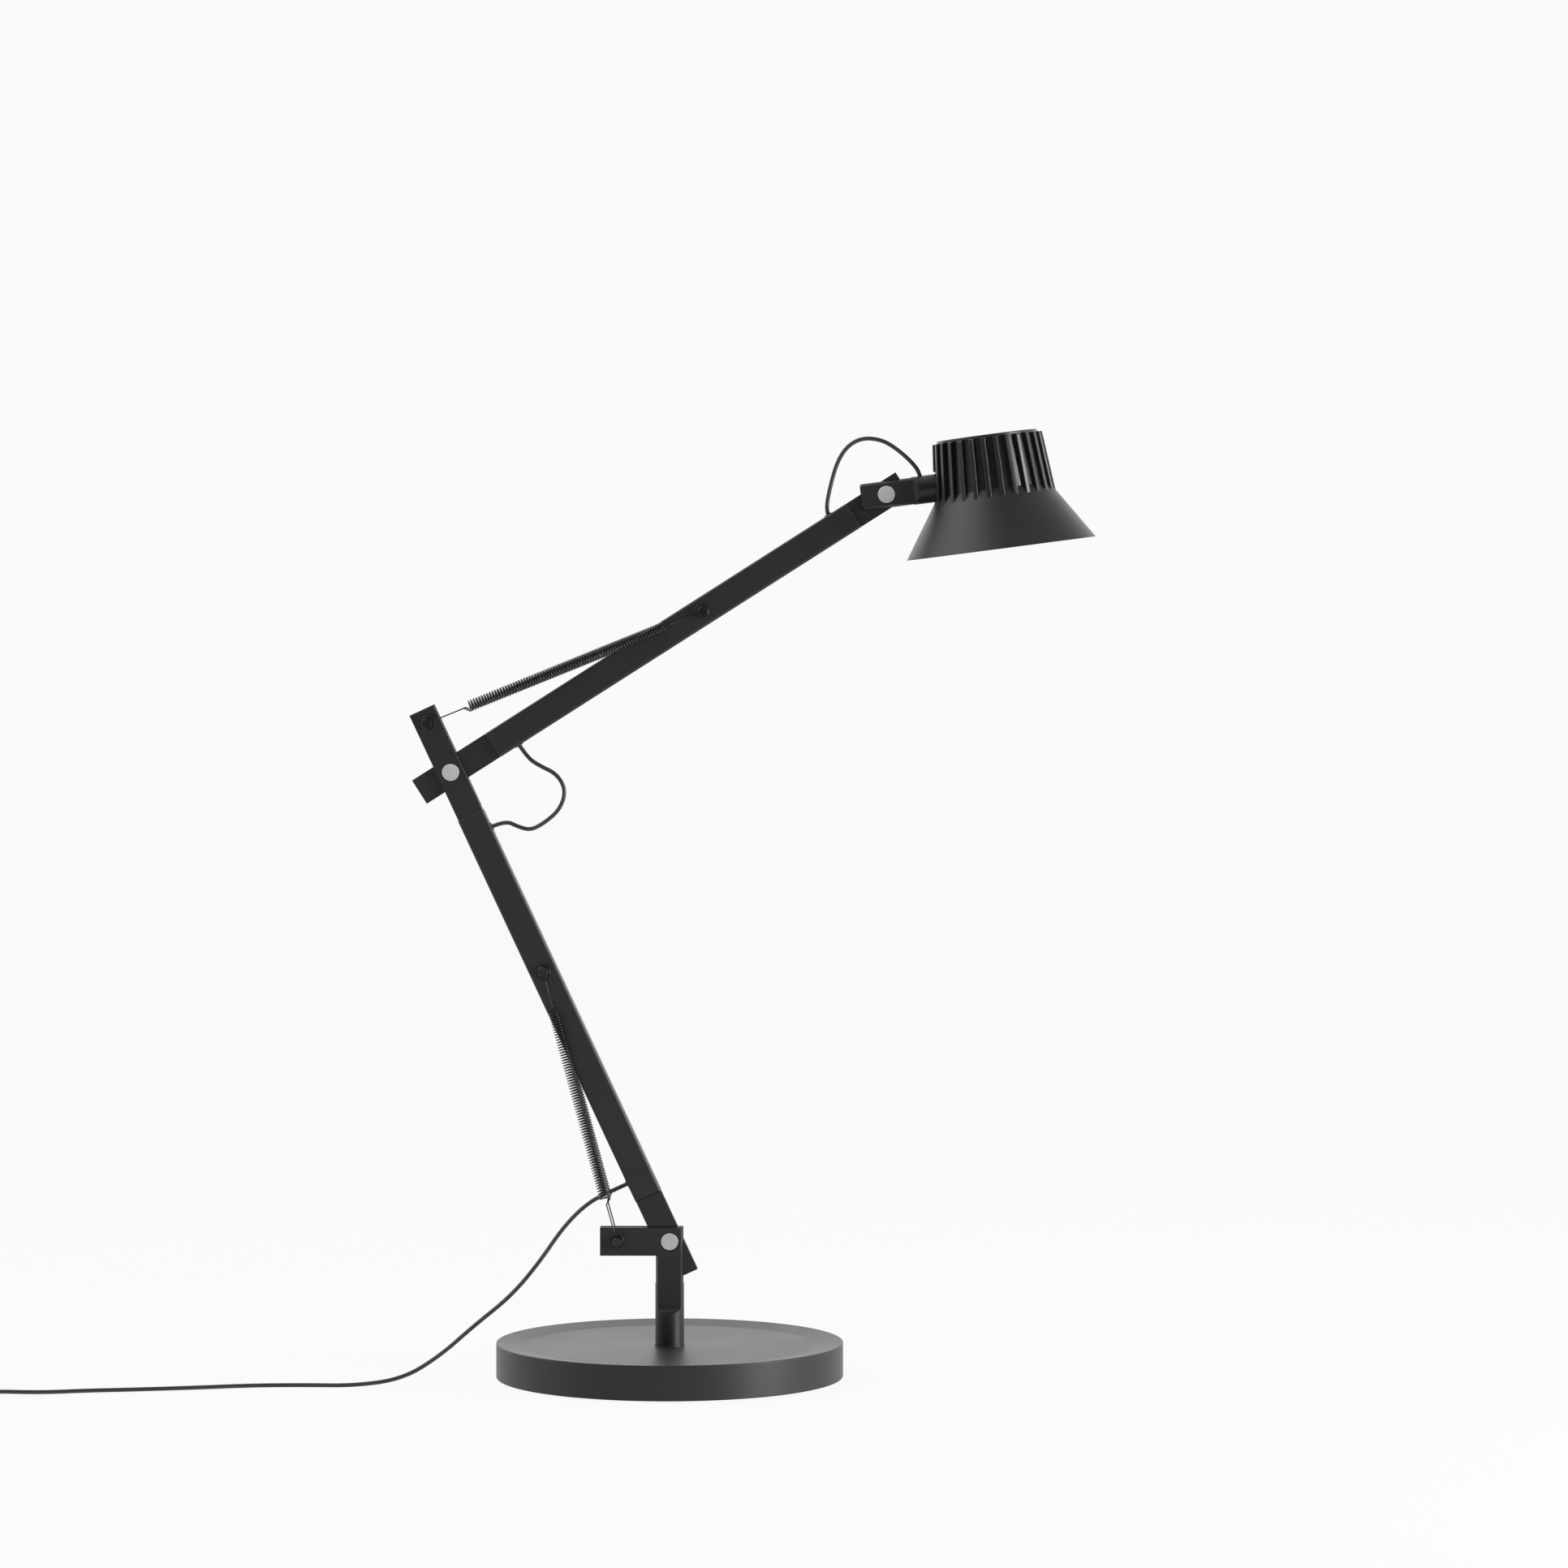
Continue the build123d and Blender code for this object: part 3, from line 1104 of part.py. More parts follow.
power_cord_points = [
    LOWER_FRAME.from_local_coords(Vector(LOWER_FOOT_EXIT, CORD_EXIT_DEPTH, 0)),
    LOWER_FRAME.from_local_coords(Vector(LOWER_FOOT_EXIT, CORD_EXIT_DEPTH + POWER_EXIT_RUN, 0)),
    (-47.0, -2.0, 101.0),
    (-61.0, -7.0, 87.4),
    (-74.0, -13.5, 68.5),
    (-90.0, -20.5, 49.5),
    (-111.5, -29.0, 33.0),
    (-130.0, -36.0, 17.0),
    (-151.0, -42.5, 4.6),
    (-178.0, -45.8, CORD_DIAMETER / 2),
    (-206.0, -43.4, CORD_DIAMETER / 2),
    (-238.0, -45.4, CORD_DIAMETER / 2),
    (-270.0, -55.0, CORD_DIAMETER / 2),
    (-304.0, -62.4, CORD_DIAMETER / 2),
    (-328.0, -66.0, CORD_DIAMETER / 2),
    (-352.0, -73.6, CORD_DIAMETER / 2),
    (-378.0, COIL_START[1], COIL_START[2]),
    COIL_START,
]
save(free_cord("power_cord", power_cord_points), "power_cord")

# Put-away length: four flat layers that spiral in, out, in and out, then the plug
COIL_OUTER_RADIUS = COIL_INNER_RADIUS + COIL_LAYER_TURNS * COIL_PITCH
COIL_TURNS = COIL_LAYERS * COIL_LAYER_TURNS + (COIL_LAYERS - 1) * COIL_CLIMB_TURNS
COIL_CENTRE = Vector(COIL_START[0] - CORD_DIAMETER, COIL_START[1] + COIL_OUTER_RADIUS, COIL_START[2])


def coil_route(turn):
    """A point of the coil after that many turns."""
    layer_span = COIL_LAYER_TURNS + COIL_CLIMB_TURNS
    layer = min(max(int(turn // layer_span), 0), COIL_LAYERS - 1)
    in_layer = turn - layer * layer_span
    wound = min(in_layer, COIL_LAYER_TURNS)
    climb = max(0.0, in_layer - COIL_LAYER_TURNS) / COIL_CLIMB_TURNS if layer < COIL_LAYERS - 1 else 0.0
    inward = layer % 2 == 0
    radius = COIL_OUTER_RADIUS - wound * COIL_PITCH if inward else COIL_INNER_RADIUS + wound * COIL_PITCH
    angle = -pi / 2 - 2 * pi * turn
    height = (layer + climb) * COIL_PITCH
    return COIL_CENTRE + Vector(radius * cos(angle), radius * sin(angle), height)


coil_steps = []
for layer_index in range(COIL_LAYERS):
    layer_start = layer_index * (COIL_LAYER_TURNS + COIL_CLIMB_TURNS)
    quarter_count = round(COIL_LAYER_TURNS * 4)
    coil_steps += [layer_start + COIL_LAYER_TURNS * i / quarter_count for i in range(quarter_count)]
    coil_steps += [layer_start + COIL_LAYER_TURNS]
inside_end = 1e-3
coil_steps[0] = inside_end
coil_steps[-1] = COIL_TURNS - inside_end
coil_apart = 12 * CORD_DIAMETER
save(
    wound_tube(
        "power_cord_coil", coil_route, coil_steps, CORD_DIAMETER, CORD_DIAMETER, COIL_END_RUN, coil_apart
    ),
    "power_cord_coil",
)

coil_top = COIL_START[2] + (COIL_LAYERS - 1) * COIL_PITCH + CORD_DIAMETER / 2
with BuildPart() as cord_tie:
    near = COIL_CENTRE.Y + COIL_INNER_RADIUS - CORD_DIAMETER / 2 - TIE_GAP
    far = COIL_CENTRE.Y + COIL_OUTER_RADIUS + CORD_DIAMETER / 2 + TIE_GAP
    foot = COIL_START[2] - CORD_DIAMETER / 2 - TIE_GAP
    head = coil_top + TIE_GAP
    with BuildSketch(Plane.YZ.offset(COIL_CENTRE.X)):
        with Locations(((near + far) / 2, (foot + head) / 2)):
            Rectangle(far - near + 2 * TIE_THICKNESS, head - foot + 2 * TIE_THICKNESS)
            Rectangle(far - near, head - foot, mode=Mode.SUBTRACT)
    extrude(amount=TIE_WIDTH / 2, both=True)
save(cord_tie.part, "cord_tie")

plug_axis_height = coil_top - CORD_DIAMETER / 2
plug_entry = Vector(
    COIL_CENTRE.X - COIL_OUTER_RADIUS, COIL_CENTRE.Y + COIL_END_RUN, plug_axis_height
)
relief_plane = Plane(plug_entry, Vector(1, 0, 0), Vector(0, 1, 0))
with BuildPart() as power_plug:
    with BuildSketch(relief_plane.offset(RELIEF_LENGTH)):
        RectangleRounded(PLUG_WIDTH, 2 * plug_axis_height, PLUG_CORNER)
    extrude(amount=PLUG_LENGTH)
    plug_ends = power_plug.faces().sort_by(Axis.Y)
    fillet(plug_ends[0].edges() + plug_ends[-1].edges(), PLUG_EDGE_FILLET)
    with BuildSketch(relief_plane):
        Circle(RELIEF_TIP_DIAMETER / 2)
    with BuildSketch(relief_plane.offset(RELIEF_LENGTH)):
        Circle(RELIEF_DIAMETER / 2)
    loft()
    for pin_side in (1, -1):
        with BuildSketch(relief_plane.offset(RELIEF_LENGTH + PLUG_LENGTH)):
            with Locations((pin_side * PLUG_PIN_SPACING / 2, 0)):
                Circle(PLUG_PIN_DIAMETER / 2)
        extrude(amount=-PLUG_PIN_SEAT, mode=Mode.SUBTRACT)
save(power_plug.part, "power_plug")

with BuildPart() as plug_pins:
    with BuildSketch(relief_plane.offset(RELIEF_LENGTH + PLUG_LENGTH - PLUG_PIN_SEAT)):
        for pin_side in (1, -1):
            with Locations((pin_side * PLUG_PIN_SPACING / 2, 0)):
                Circle(PLUG_PIN_DIAMETER / 2)
    extrude(amount=PLUG_PIN_SEAT + PLUG_PIN_LENGTH)
    fillet(plug_pins.faces().sort_by(Axis.Y)[-2:].edges(), PLUG_PIN_ROUND)
save(plug_pins.part, "plug_pins")

print("lower pivot", LOWER_PIVOT, "elbow", ELBOW, "head pivot", HEAD_PIVOT, "head centre", HEAD_CENTRE)
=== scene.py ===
import json
import math

import bpy
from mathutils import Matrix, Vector


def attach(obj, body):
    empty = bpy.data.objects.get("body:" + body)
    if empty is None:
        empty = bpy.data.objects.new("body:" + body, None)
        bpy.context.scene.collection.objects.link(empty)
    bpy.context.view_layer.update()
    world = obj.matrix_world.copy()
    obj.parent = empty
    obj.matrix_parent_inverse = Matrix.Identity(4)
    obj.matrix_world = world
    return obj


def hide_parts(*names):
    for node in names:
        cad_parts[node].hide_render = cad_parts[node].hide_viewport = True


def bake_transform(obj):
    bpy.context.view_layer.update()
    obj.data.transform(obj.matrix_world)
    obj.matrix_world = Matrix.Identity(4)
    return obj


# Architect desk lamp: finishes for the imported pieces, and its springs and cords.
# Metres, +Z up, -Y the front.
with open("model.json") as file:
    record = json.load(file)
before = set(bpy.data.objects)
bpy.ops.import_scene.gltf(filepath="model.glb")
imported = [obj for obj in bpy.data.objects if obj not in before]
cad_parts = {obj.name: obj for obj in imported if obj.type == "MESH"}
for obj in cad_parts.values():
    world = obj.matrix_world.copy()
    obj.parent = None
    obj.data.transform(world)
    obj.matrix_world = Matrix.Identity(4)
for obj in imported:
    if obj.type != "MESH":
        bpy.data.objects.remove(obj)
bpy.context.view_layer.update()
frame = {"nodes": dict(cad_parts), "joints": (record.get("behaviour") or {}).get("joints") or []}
nodes = frame["nodes"]
joints = {joint["name"]: joint for joint in frame["joints"]}

MM = 0.001
FRONT = Vector((0, -1, 0))

# Joint places
LOWER_PIVOT = Vector(joints["lower_arm_lean"]["pos_m"])
ELBOW = Vector(joints["elbow"]["pos_m"])
HEAD_PIVOT = Vector(joints["head_tilt"]["pos_m"])
LOWER_ALONG = (ELBOW - LOWER_PIVOT).normalized()
UPPER_ALONG = (HEAD_PIVOT - ELBOW).normalized()
STEM_ALONG = Vector(joints["head_turn"]["axis"])
HEAD_DOWN = Vector(joints["dimmer_press"]["axis"])

# Springs
SPRING_PLANE = 9.7 * MM
SPRING_RADIUS = 2.95 * MM
SPRING_WIRE = 0.78 * MM
WIRE_ROUNDNESS = 2
SPRING_TURNS = 73
STEPS_PER_TURN = 20
LOWER_REAR_SHIFT = 0.3 * MM
SPRING_ARM_OFFSET = 172.0 * MM

# Spring hooks
ROOT_HOOK = 26.0 * MM
ARM_HOOK = 24.0 * MM
EYE_RADIUS = 3.95 * MM
EYE_SHIFT = 0.95 * MM
EYE_OPEN_END_DEGREES = 340.0
EYE_SWEEP_DEGREES = 330.0
EYE_STEPS = 28
EYE_TO_SHANK = 2.2 * MM
HOOK_CLIMB = 4.5 * MM
CLIMB_BULGE = 0.7 * MM
CLIMB_STEPS = 8

# Cord
CORD_DIAMETER = 2.4 * MM
CORD_ROUNDNESS = 4
CORD_POINTS_PER_STEP = 6
CORD_EXIT_DEPTH = 8.55 * MM
CORD_TAIL = 2.0 * MM
NECK_EXIT_HEIGHT = 8.0 * MM
LOWER_FOOT_EXIT = 40.2 * MM
UPPER_FOOT_EXIT = 41.5 * MM
FORK_EXIT = 38.3 * MM
TIP_EXIT = 34.6 * MM
NECK_EXIT = 20.5 * MM
ELBOW_EXIT_RUN = 8.0 * MM
HEAD_EXIT_RUN = 2.2 * MM
POWER_EXIT_RUN = 9.0 * MM
COIL_START = Vector((-404.0, -78.0, 2.4)) * MM
COIL_INNER_RADIUS = 9.2 * MM
COIL_PITCH = 3.0 * MM
COIL_LAYER_TURNS = 3.4375
COIL_LAYERS = 4
COIL_CLIMB_TURNS = 0.5
COIL_END_RUN = 16.0 * MM
COIL_POINTS_PER_TURN = 16

SMOOTH_ANGLE = math.radians(50)


def select_only(obj):
    bpy.ops.object.select_all(action="DESELECT")
    obj.select_set(True)
    bpy.context.view_layer.objects.active = obj


def across(along):
    """The direction across a piece in the side view, a quarter turn left of the way it runs."""
    return FRONT.cross(along).normalized()


# Cords and wires

def line_object(name, points, kind):
    """A bare line through points, or led by them."""
    curve = bpy.data.curves.new(name, "CURVE")
    curve.dimensions = "3D"
    curve.resolution_u = CORD_POINTS_PER_STEP
    line = curve.splines.new(kind)
    line.points.add(len(points) - 1)
    for point, place in zip(line.points, points):
        point.co = (*place, 1.0)
    if kind == "NURBS":
        line.order_u = 3
        line.use_endpoint_u = True
    obj = bpy.data.objects.new(name, curve)
    bpy.context.scene.collection.objects.link(obj)
    return obj


def line_points(obj):
    """The places that a bare line runs through."""
    mesh = bpy.data.meshes.new_from_object(obj.evaluated_get(bpy.context.evaluated_depsgraph_get()))
    places = [vertex.co.copy() for vertex in mesh.vertices]
    bpy.data.meshes.remove(mesh)
    return places


def thicken(obj, diameter, roundness):
    """Turn a bare line into a round tube with closed ends."""
    obj.data.bevel_depth = diameter / 2
    obj.data.bevel_resolution = roundness
    obj.data.use_fill_caps = True
    select_only(obj)
    bpy.ops.object.convert(target="MESH")
    bpy.ops.object.shade_smooth_by_angle(angle=SMOOTH_ANGLE)
    return bpy.context.view_layer.objects.active


def cord_piece(name, points):
    """A cord on a smooth line. Returns the tube and the line's places."""
    bare = line_object(name, points, "NURBS")
    places = line_points(bare)
    return thicken(bare, CORD_DIAMETER, CORD_ROUNDNESS), places


# Elbow loop, from the upper arm's underside to the lower arm's fork
upper_side = across(UPPER_ALONG)
lower_side = across(LOWER_ALONG)
elbow_upper_exit = ELBOW + UPPER_ALONG * UPPER_FOOT_EXIT - upper_side * CORD_EXIT_DEPTH
elbow_lower_exit = ELBOW - LOWER_ALONG * FORK_EXIT - lower_side * CORD_EXIT_DEPTH
elbow_route = [
    elbow_upper_exit + upper_side * CORD_TAIL,
    elbow_upper_exit - upper_side * ELBOW_EXIT_RUN,
    ELBOW + Vector((51.0, -1.5, 3.7)) * MM,
    ELBOW + Vector((61.0, -2.5, -0.9)) * MM,
    ELBOW + Vector((66.3, -3.0, -10.4)) * MM,
    ELBOW + Vector((62.7, -3.0, -21.4)) * MM,
    ELBOW + Vector((54.0, -2.5, -28.9)) * MM,
    ELBOW + Vector((46.0, -2.0, -33.3)) * MM,
    ELBOW + Vector((38.8, -1.0, -31.5)) * MM,
    elbow_lower_exit - lower_side * ELBOW_EXIT_RUN,
    elbow_lower_exit + lower_side * CORD_TAIL,
]
elbow_cord, elbow_path = cord_piece("elbow_cord_loop", elbow_route)

# Head loop, from the upper arm's top to the neck
tip_exit = HEAD_PIVOT - UPPER_ALONG * TIP_EXIT + upper_side * CORD_EXIT_DEPTH
neck_exit = HEAD_PIVOT + STEM_ALONG * NECK_EXIT - HEAD_DOWN * NECK_EXIT_HEIGHT
head_route = [
    tip_exit - upper_side * CORD_TAIL,
    tip_exit + upper_side * HEAD_EXIT_RUN,
    HEAD_PIVOT + Vector((-31.9, -0.6, 6.1)) * MM,
    HEAD_PIVOT + Vector((-28.0, -1.4, 19.2)) * MM,
    HEAD_PIVOT + Vector((-22.0, -2.2, 28.2)) * MM,
    HEAD_PIVOT + Vector((-13.4, -2.8, 32.4)) * MM,
    HEAD_PIVOT + Vector((-3.2, -2.8, 31.3)) * MM,
    HEAD_PIVOT + Vector((4.6, -2.0, 27.1)) * MM,
    HEAD_PIVOT + Vector((13.7, -0.9, 19.4)) * MM,
    neck_exit - HEAD_DOWN * HEAD_EXIT_RUN,
    neck_exit + HEAD_DOWN * CORD_TAIL,
]
head_cord, head_path = cord_piece("head_cord_loop", head_route)

# Power cord, from the lower arm's foot to the table, then its put-away coil
foot_exit = LOWER_PIVOT + LOWER_ALONG * LOWER_FOOT_EXIT + lower_side * CORD_EXIT_DEPTH


def on_table(x, y):
    """A place where the cord lies on the table, from millimetres."""
    return Vector((x * MM, y * MM, CORD_DIAMETER / 2))


power_route = [
    foot_exit,
    foot_exit + lower_side * POWER_EXIT_RUN,
    Vector((-47.0, -2.0, 101.0)) * MM,
    Vector((-61.0, -7.0, 87.4)) * MM,
    Vector((-74.0, -13.5, 68.5)) * MM,
    Vector((-90.0, -20.5, 49.5)) * MM,
    Vector((-111.5, -29.0, 33.0)) * MM,
    Vector((-130.0, -36.0, 17.0)) * MM,
    Vector((-151.0, -42.5, 4.6)) * MM,
    on_table(-178.0, -45.8),
    on_table(-206.0, -43.4),
    on_table(-238.0, -45.4),
    on_table(-270.0, -55.0),
    on_table(-304.0, -62.4),
    on_table(-328.0, -66.0),
    on_table(-352.0, -73.6),
    Vector((-378.0 * MM, COIL_START.y, COIL_START.z)),
    COIL_START,
]
coil_outer_radius = COIL_INNER_RADIUS + COIL_LAYER_TURNS * COIL_PITCH
coil_turns = COIL_LAYERS * COIL_LAYER_TURNS + (COIL_LAYERS - 1) * COIL_CLIMB_TURNS
coil_centre = COIL_START + Vector((-CORD_DIAMETER, coil_outer_radius, 0))


def coil_place(turn):
    """The coil after that many turns: flat layers that spiral in and out, each on the one before."""
    layer_span = COIL_LAYER_TURNS + COIL_CLIMB_TURNS
    layer = min(int(turn // layer_span), COIL_LAYERS - 1)
    in_layer = turn - layer * layer_span
    wound = min(in_layer, COIL_LAYER_TURNS)
    climb = max(0.0, in_layer - COIL_LAYER_TURNS) / COIL_CLIMB_TURNS
    radius = COIL_INNER_RADIUS + wound * COIL_PITCH
    if layer % 2 == 0:
        radius = coil_outer_radius - wound * COIL_PITCH
    angle = -math.pi / 2 - 2 * math.pi * turn
    height = (layer + climb) * COIL_PITCH
    return coil_centre + Vector((radius * math.cos(angle), radius * math.sin(angle), height))


coil_count = round(coil_turns * COIL_POINTS_PER_TURN)
power_route += [coil_place(coil_turns * i / coil_count) for i in range(1, coil_count + 1)]
power_route += [power_route[-1] + Vector((0, COIL_END_RUN * share, 0)) for share in (0.5, 1.0)]
power_cord, power_path = cord_piece("power_cord_line", power_route)


# Springs: close wound coils with a hook at each end

def wire_piece(name, places):
    """A spring's wire through places."""
    return thicken(line_object(name, places, "POLY"), SPRING_WIRE, WIRE_ROUNDNESS)


def spring_places(root, along, side, start, end):
    """The coil's wire, from start to end along the spring."""
    up = across(along)
    middle = root + FRONT * side * SPRING_PLANE
    count = SPRING_TURNS * STEPS_PER_TURN
    places = []
    for i in range(count + 1):
        angle = 2 * math.pi * i / STEPS_PER_TURN
        reach = start + (end - start) * i / count
        ring = -up * math.cos(angle) - FRONT * math.sin(angle)
        places.append(middle + along * reach + ring * SPRING_RADIUS)
    return places


def hook_places(pin, along, side, length):
    """A hook's wire: an open eye round the pin, a straight shank and a climb to the coil's rim."""
    up = across(along)
    middle = pin + FRONT * side * SPRING_PLANE
    eye = middle + along * EYE_SHIFT
    places = []
    for i in range(EYE_STEPS + 1):
        angle = math.radians(EYE_OPEN_END_DEGREES - EYE_SWEEP_DEGREES * i / EYE_STEPS)
        places.append(eye + (along * math.cos(angle) + up * math.sin(angle)) * EYE_RADIUS)
    places.append(middle + along * (EYE_SHIFT + EYE_RADIUS + EYE_TO_SHANK))
    places.append(middle + along * (length - HOOK_CLIMB))
    for i in range(1, CLIMB_STEPS + 1):
        share = i / CLIMB_STEPS
        drop = SPRING_RADIUS * (1 - math.cos(math.pi * share)) / 2
        lift = CLIMB_BULGE * math.sin(math.pi * share)
        places.append(middle + along * (length - HOOK_CLIMB * (1 - share)) + up * (lift - drop))
    return places


# rear_shift is how much further along the rear coil sits than the front one
spring_pieces = []
for arm, pivot, arm_along, rear_shift in (
    ("lower", LOWER_PIVOT, LOWER_ALONG, LOWER_REAR_SHIFT),
    ("upper", ELBOW, UPPER_ALONG, 0.0),
):
    root = Vector(joints[f"{arm}_spring_swing"]["pos_m"])
    along = Vector(joints[f"{arm}_spring_stretch"]["axis"]).normalized()
    arm_pin = pivot + arm_along * SPRING_ARM_OFFSET
    span = (arm_pin - root).length
    for side, word, shift in ((1, "front", 0.0), (-1, "rear", rear_shift)):
        name = f"{arm}_spring_{word}"
        first = ROOT_HOOK + shift
        last = span - ARM_HOOK + shift
        coil = wire_piece(f"{name}_coil", spring_places(root, along, side, first, last))
        root_hook = wire_piece(f"{name}_root_hook", hook_places(root, along, side, first))
        arm_hook = wire_piece(f"{name}_arm_hook", hook_places(arm_pin, -along, side, span - last))
        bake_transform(coil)
        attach(root_hook, f"{arm}_spring_hooks")
        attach(arm_hook, f"{arm}_arm")
        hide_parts(f"{arm}_spring_coils")
        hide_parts(f"{arm}_spring_root_hooks")
        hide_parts(f"{arm}_spring_arm_hooks")
        spring_pieces += [coil, root_hook, arm_hook]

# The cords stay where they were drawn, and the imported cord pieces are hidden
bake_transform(elbow_cord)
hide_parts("elbow_cord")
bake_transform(head_cord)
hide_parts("head_cord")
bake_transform(power_cord)
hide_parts("power_cord", "power_cord_coil")


# Finishes

# A mix node's colour sockets, which share their names with its other sockets
MIX_TONE = 6
MIX_OTHER_TONE = 7
MIX_COLOUR = 2

# The peel's scale as a share of the grain's, and the coat's tones as shares of its own; the edge tone is a
# painted highlight
PEEL_TO_GRAIN = 0.22
COAT_DARKER = 0.93
COAT_PALER = 1.08
COAT_EDGE_HIGHLIGHT = 2.4
EDGE_SAMPLES = 4


def place_node(tree, kind, **values):
    """A node with its settings, and its input values by socket name, with _ for a space."""
    made = tree.nodes.new(kind)
    for name, value in values.items():
        socket = name.replace("_", " ")
        if socket in made.inputs:
            made.inputs[socket].default_value = value
        else:
            setattr(made, name, value)
    return made


def join(tree, source, output, target, entry):
    """Lead one node's output into another's input."""
    tree.links.new(source.outputs[output], target.inputs[entry])


def new_group(name, inputs, outputs):
    """An empty shader group with its sockets. Returns the group, its start and its end."""
    group = bpy.data.node_groups.new(name, "ShaderNodeTree")
    for socket, kind, value in inputs:
        group.interface.new_socket(socket, in_out="INPUT", socket_type=kind).default_value = value
    for socket, kind in outputs:
        group.interface.new_socket(socket, in_out="OUTPUT", socket_type=kind)
    return group, group.nodes.new("NodeGroupInput"), group.nodes.new("NodeGroupOutput")


def powder_grain_group():
    """The fine pebbled skin of a baked powder coat, as a height."""
    group, start, end = new_group(
        "powder_grain",
        [("Scale", "NodeSocketFloat", 1600.0), ("Peel", "NodeSocketFloat", 0.35)],
        [("Height", "NodeSocketFloat")],
    )
    spot = place_node(group, "ShaderNodeTexCoord")
    fine = place_node(group, "ShaderNodeTexNoise", Detail=2.0, Roughness=0.6)
    peel = place_node(group, "ShaderNodeTexNoise", Detail=1.0, Roughness=0.4)
    wide = place_node(group, "ShaderNodeMath", operation="MULTIPLY")
    wide.inputs[1].default_value = PEEL_TO_GRAIN
    both = place_node(group, "ShaderNodeMix", data_type="FLOAT")
    join(group, spot, "Object", fine, "Vector")
    join(group, spot, "Object", peel, "Vector")
    join(group, start, "Scale", fine, "Scale")
    join(group, start, "Scale", wide, 0)
    join(group, wide, 0, peel, "Scale")
    join(group, start, "Peel", both, "Factor")
    join(group, fine, "Fac", both, "A")
    join(group, peel, "Fac", both, "B")
    join(group, both, "Result", end, "Height")
    return group


def mottle_group():
    """Slow uneven tone over a surface: a colour drifts between two tones, and a value with it."""
    group, start, end = new_group(
        "mottle",
        [
            ("Tone", "NodeSocketColor", (0.5, 0.5, 0.5, 1.0)),
            ("Other tone", "NodeSocketColor", (0.5, 0.5, 0.5, 1.0)),
            ("Scale", "NodeSocketFloat", 30.0),
            ("Low", "NodeSocketFloat", 0.4),
            ("High", "NodeSocketFloat", 0.6),
        ],
        [("Colour", "NodeSocketColor"), ("Value", "NodeSocketFloat")],
    )
    spot = place_node(group, "ShaderNodeTexCoord")
    cloud = place_node(group, "ShaderNodeTexNoise", Detail=5.0, Roughness=0.55)
    spread = place_node(
        group, "ShaderNodeMapRange", interpolation_type="SMOOTHSTEP", From_Min=0.32, From_Max=0.68
    )
    tint = place_node(group, "ShaderNodeMix", data_type="RGBA")
    level = place_node(group, "ShaderNodeMix", data_type="FLOAT")
    join(group, spot, "Object", cloud, "Vector")
    join(group, start, "Scale", cloud, "Scale")
    join(group, cloud, "Fac", spread, "Value")
    join(group, spread, "Result", tint, "Factor")
    join(group, start, "Tone", tint, MIX_TONE)
    join(group, start, "Other tone", tint, MIX_OTHER_TONE)
    join(group, spread, "Result", level, "Factor")
    join(group, start, "Low", level, "A")
    join(group, start, "High", level, "B")
    join(group, tint, MIX_COLOUR, end, "Colour")
    join(group, level, "Result", end, "Value")
    return group


def painted_edge_highlight_group():
    """A mask along edges, broken up by noise, where the coat is painted paler as a highlight on rounded
    edges that catch the light.
    """
    group, start, end = new_group(
        "painted_edge_highlight",
        [("Width", "NodeSocketFloat", 0.6 * MM), ("Strength", "NodeSocketFloat", 0.5)],
        [("Mask", "NodeSocketFloat")],
    )
    rounded = place_node(group, "ShaderNodeBevel", samples=EDGE_SAMPLES)
    flat = place_node(group, "ShaderNodeNewGeometry")
    same = place_node(group, "ShaderNodeVectorMath", operation="DOT_PRODUCT")
    edge = place_node(
        group, "ShaderNodeMapRange", interpolation_type="SMOOTHSTEP", From_Min=0.995, From_Max=0.86
    )
    spot = place_node(group, "ShaderNodeTexCoord")
    patch = place_node(group, "ShaderNodeTexNoise", Scale=90.0, Detail=4.0)
    broken = place_node(group, "ShaderNodeMath", operation="MULTIPLY")
    out = place_node(group, "ShaderNodeMath", operation="MULTIPLY")
    join(group, start, "Width", rounded, "Radius")
    join(group, rounded, "Normal", same, 0)
    join(group, flat, "Normal", same, 1)
    join(group, same, "Value", edge, "Value")
    join(group, spot, "Object", patch, "Vector")
    join(group, edge, "Result", broken, 0)
    join(group, patch, "Fac", broken, 1)
    join(group, broken, 0, out, 0)
    join(group, start, "Strength", out, 1)
    join(group, out, 0, end, "Mask")
    return group


POWDER_GRAIN = powder_grain_group()
MOTTLE = mottle_group()
PAINTED_EDGE_HIGHLIGHT = painted_edge_highlight_group()


def new_material(name):
    """A material with its surface shader. Returns the material, its tree and the shader."""
    material = bpy.data.materials.new(name)
    material.use_nodes = True
    tree = material.node_tree
    tree.nodes.clear()
    shader = place_node(tree, "ShaderNodeBsdfPrincipled")
    out = place_node(tree, "ShaderNodeOutputMaterial")
    join(tree, shader, "BSDF", out, "Surface")
    return material, tree, shader


def grey(level, warm=0.0):
    """A grey colour, or one that leans to red where warm is above 0."""
    return (level * (1 + warm), level, level * (1 - warm), 1.0)


def put_mottle(tree, tone, other_tone, scale, roughness):
    """The mottle group in a material, with its value as a roughness from the lowest to the highest."""
    low, high = roughness
    return place_node(
        tree, "ShaderNodeGroup", node_tree=MOTTLE,
        Tone=tone, Other_tone=other_tone, Scale=scale, Low=low, High=high,
    )


